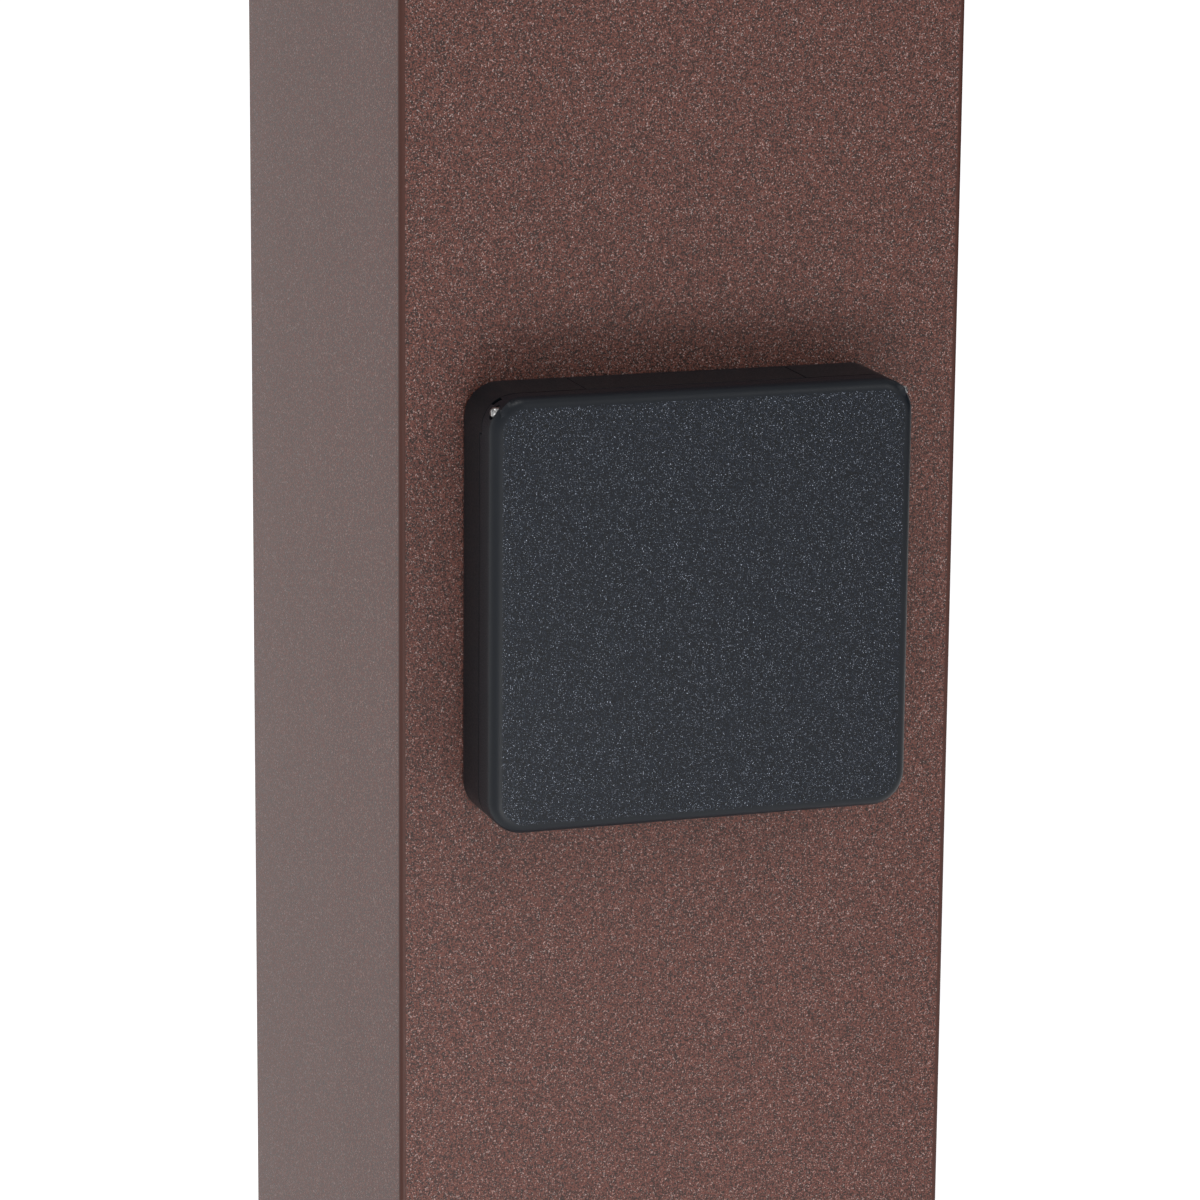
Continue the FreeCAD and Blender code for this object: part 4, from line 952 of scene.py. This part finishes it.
@dataclass(frozen=True)
class Camera:
    """The camera: where it stands and how it is turned.

    Attributes:
        place: its position.
        yaw: turn to the right from looking along +Y, in degrees.
        pitch: tilt down, in degrees.
        roll: roll of the picture, in degrees.
        lens_mm: focal length on a 36 mm wide sensor.
    """
    place: tuple[float, float, float] = (-0.3037, -0.9223, 0.6307)
    yaw: float = 18.35
    pitch: float = 13.10
    roll: float = -0.475
    lens_mm: float = 150.3

    def build(self) -> bpy.types.Object:
        """Make the camera and set it as the scene's."""
        yaw, pitch, roll = (math.radians(v) for v in (self.yaw, self.pitch, self.roll))
        ahead = Vector((math.sin(yaw) * math.cos(pitch), math.cos(yaw) * math.cos(pitch), -math.sin(pitch)))
        right = Vector((math.cos(yaw), -math.sin(yaw), 0))
        down = ahead.cross(right)
        turned = right * math.cos(roll) + down * math.sin(roll)
        below = -right * math.sin(roll) + down * math.cos(roll)
        axes = Matrix((turned, -below, -ahead)).transposed().to_4x4()
        data = bpy.data.cameras.new("camera")
        data.lens = self.lens_mm
        data.sensor_width = 36.0
        data.clip_start = 0.01
        camera = bpy.data.objects.new("camera", data)
        camera.matrix_world = Matrix.Translation(self.place) @ axes
        bpy.context.scene.collection.objects.link(camera)
        bpy.context.scene.camera = camera
        return camera


@dataclass(frozen=True)
class Softbox:
    """A square area light that looks at a point.

    Attributes:
        name: its name.
        place: its position.
        aim: the point that it looks at.
        side: edge length.
        power: watts.
        colour: sRGB hex.
    """
    name: str
    place: tuple[float, float, float]
    aim: tuple[float, float, float]
    side: float
    power: float
    colour: str = "ffffff"

    def build(self) -> bpy.types.Object:
        """Make the light."""
        data = bpy.data.lights.new(self.name, "AREA")
        data.energy = self.power
        data.size = self.side
        data.color = linear(self.colour)[:3]
        light = bpy.data.objects.new(self.name, data)
        back = Vector(self.place) - Vector(self.aim)
        turn = back.to_track_quat("Z", "Y").to_matrix().to_4x4()
        light.matrix_world = Matrix.Translation(self.place) @ turn
        light.visible_camera = False
        bpy.context.scene.collection.objects.link(light)
        return light


@dataclass
class Studio:
    """White floor, pale surroundings, soft lights and a black flag.

    Attributes:
        floor_half: half the floor's width.
        floor_glow: light that the floor gives off, which keeps it evenly white.
        glow: brightness of the surroundings at the horizon.
        zenith: brightness of the surroundings overhead.
        fall: heights of a unit direction between which the one turns into the other.
        flag_x: where the flag stands, to the right of the post.
        flag_y: its two ends, nearest to the camera first.
        flag_z: its lower and upper edge.
        lights: the softboxes.
    """
    floor_half: float = 40.0
    floor_glow: float = 0.5
    glow: float = 1.0
    zenith: float = 0.42
    fall: tuple[float, float] = (0.15, 0.8)
    flag_x: float = 0.9
    flag_y: tuple[float, float] = (-0.5, 0.6)
    flag_z: tuple[float, float] = (0.22, 1.1)
    lights: tuple[Softbox, ...] = (
        Softbox("softbox_right", (1.3, -1.7, 1.9), (0, 0, 0.4), 0.9, 12.0),
        Softbox("softbox_top", (-0.12, -0.3, 1.5), (0, -0.06, 0.46), 0.2, 3.0),
        Softbox("softbox_low", (-0.15, -0.65, 0.04), (0, -0.05, 0.2), 0.35, 2.7),
    )

    def build(self) -> None:
        """Make the floor, the surroundings and the lights."""
        h = self.floor_half
        floor = self.card("floor", [(-h, -h, 0), (h, -h, 0), (h, h, 0), (-h, h, 0)])
        paper = Finish("matt white studio floor", "ffffff", "fefefe", grain_mm=30, relief_mm=0.0,
                       roughness=0.9, cloud=0.0).material()
        shader = next(node for node in paper.node_tree.nodes if node.type == "BSDF_PRINCIPLED")
        shader.inputs["Emission Color"].default_value = (1, 1, 1, 1)
        shader.inputs["Emission Strength"].default_value = self.floor_glow
        floor.data.materials.append(paper)
        self.flag()
        world = bpy.data.worlds.new("surroundings")
        world.use_nodes = True
        tree = world.node_tree
        height = add(tree, "SeparateXYZ", {0: add(tree, "TexCoord").outputs["Generated"]}).outputs[2]
        fall = add(tree, "MapRange", {"Value": height, "From Min": self.fall[0], "From Max": self.fall[1],
                                      "To Min": self.glow, "To Max": self.zenith}).outputs[0]
        tree.nodes["Background"].inputs["Color"].default_value = (1, 1, 1, 1)
        tree.links.new(fall, tree.nodes["Background"].inputs["Strength"])
        bpy.context.scene.world = world
        bpy.context.scene.view_settings.view_transform = "Standard"
        for light in self.lights:
            light.build()

    def card(self, name: str, corners: Sequence[tuple[float, float, float]]) -> bpy.types.Object:
        """A flat card of the studio's.

        Args:
            name: its name.
            corners: its four corners.

        Returns:
            The object.
        """
        mesh = bpy.data.meshes.new(name)
        mesh.from_pydata(list(corners), [], [(0, 1, 2, 3)])
        card = bpy.data.objects.new(name, mesh)
        bpy.context.scene.collection.objects.link(card)
        return card

    def flag(self) -> None:
        """A black flag on the right: glossy edges that face it look dark. The camera doesn't see it."""
        x, (near, far), (low, high) = self.flag_x, self.flag_y, self.flag_z
        flag = self.card("flag", [(x, near, low), (x, far, low), (x, far, high), (x, near, high)])
        flag.data.materials.append(Finish("black studio velvet", "050505", "040404", roughness=0.95,
                                          specular=0.0).material())
        flag.visible_camera = False


def main() -> None:
    """Build everything in order."""
    logging.basicConfig(level=logging.INFO, format="%(message)s")
    Camera().build()
    dress_frame()
    for assembly in (Column(), Fasteners(), Lantern(), Outlet()):
        assembly.build()
    Studio().build()


if __name__ == "__main__":
    main()
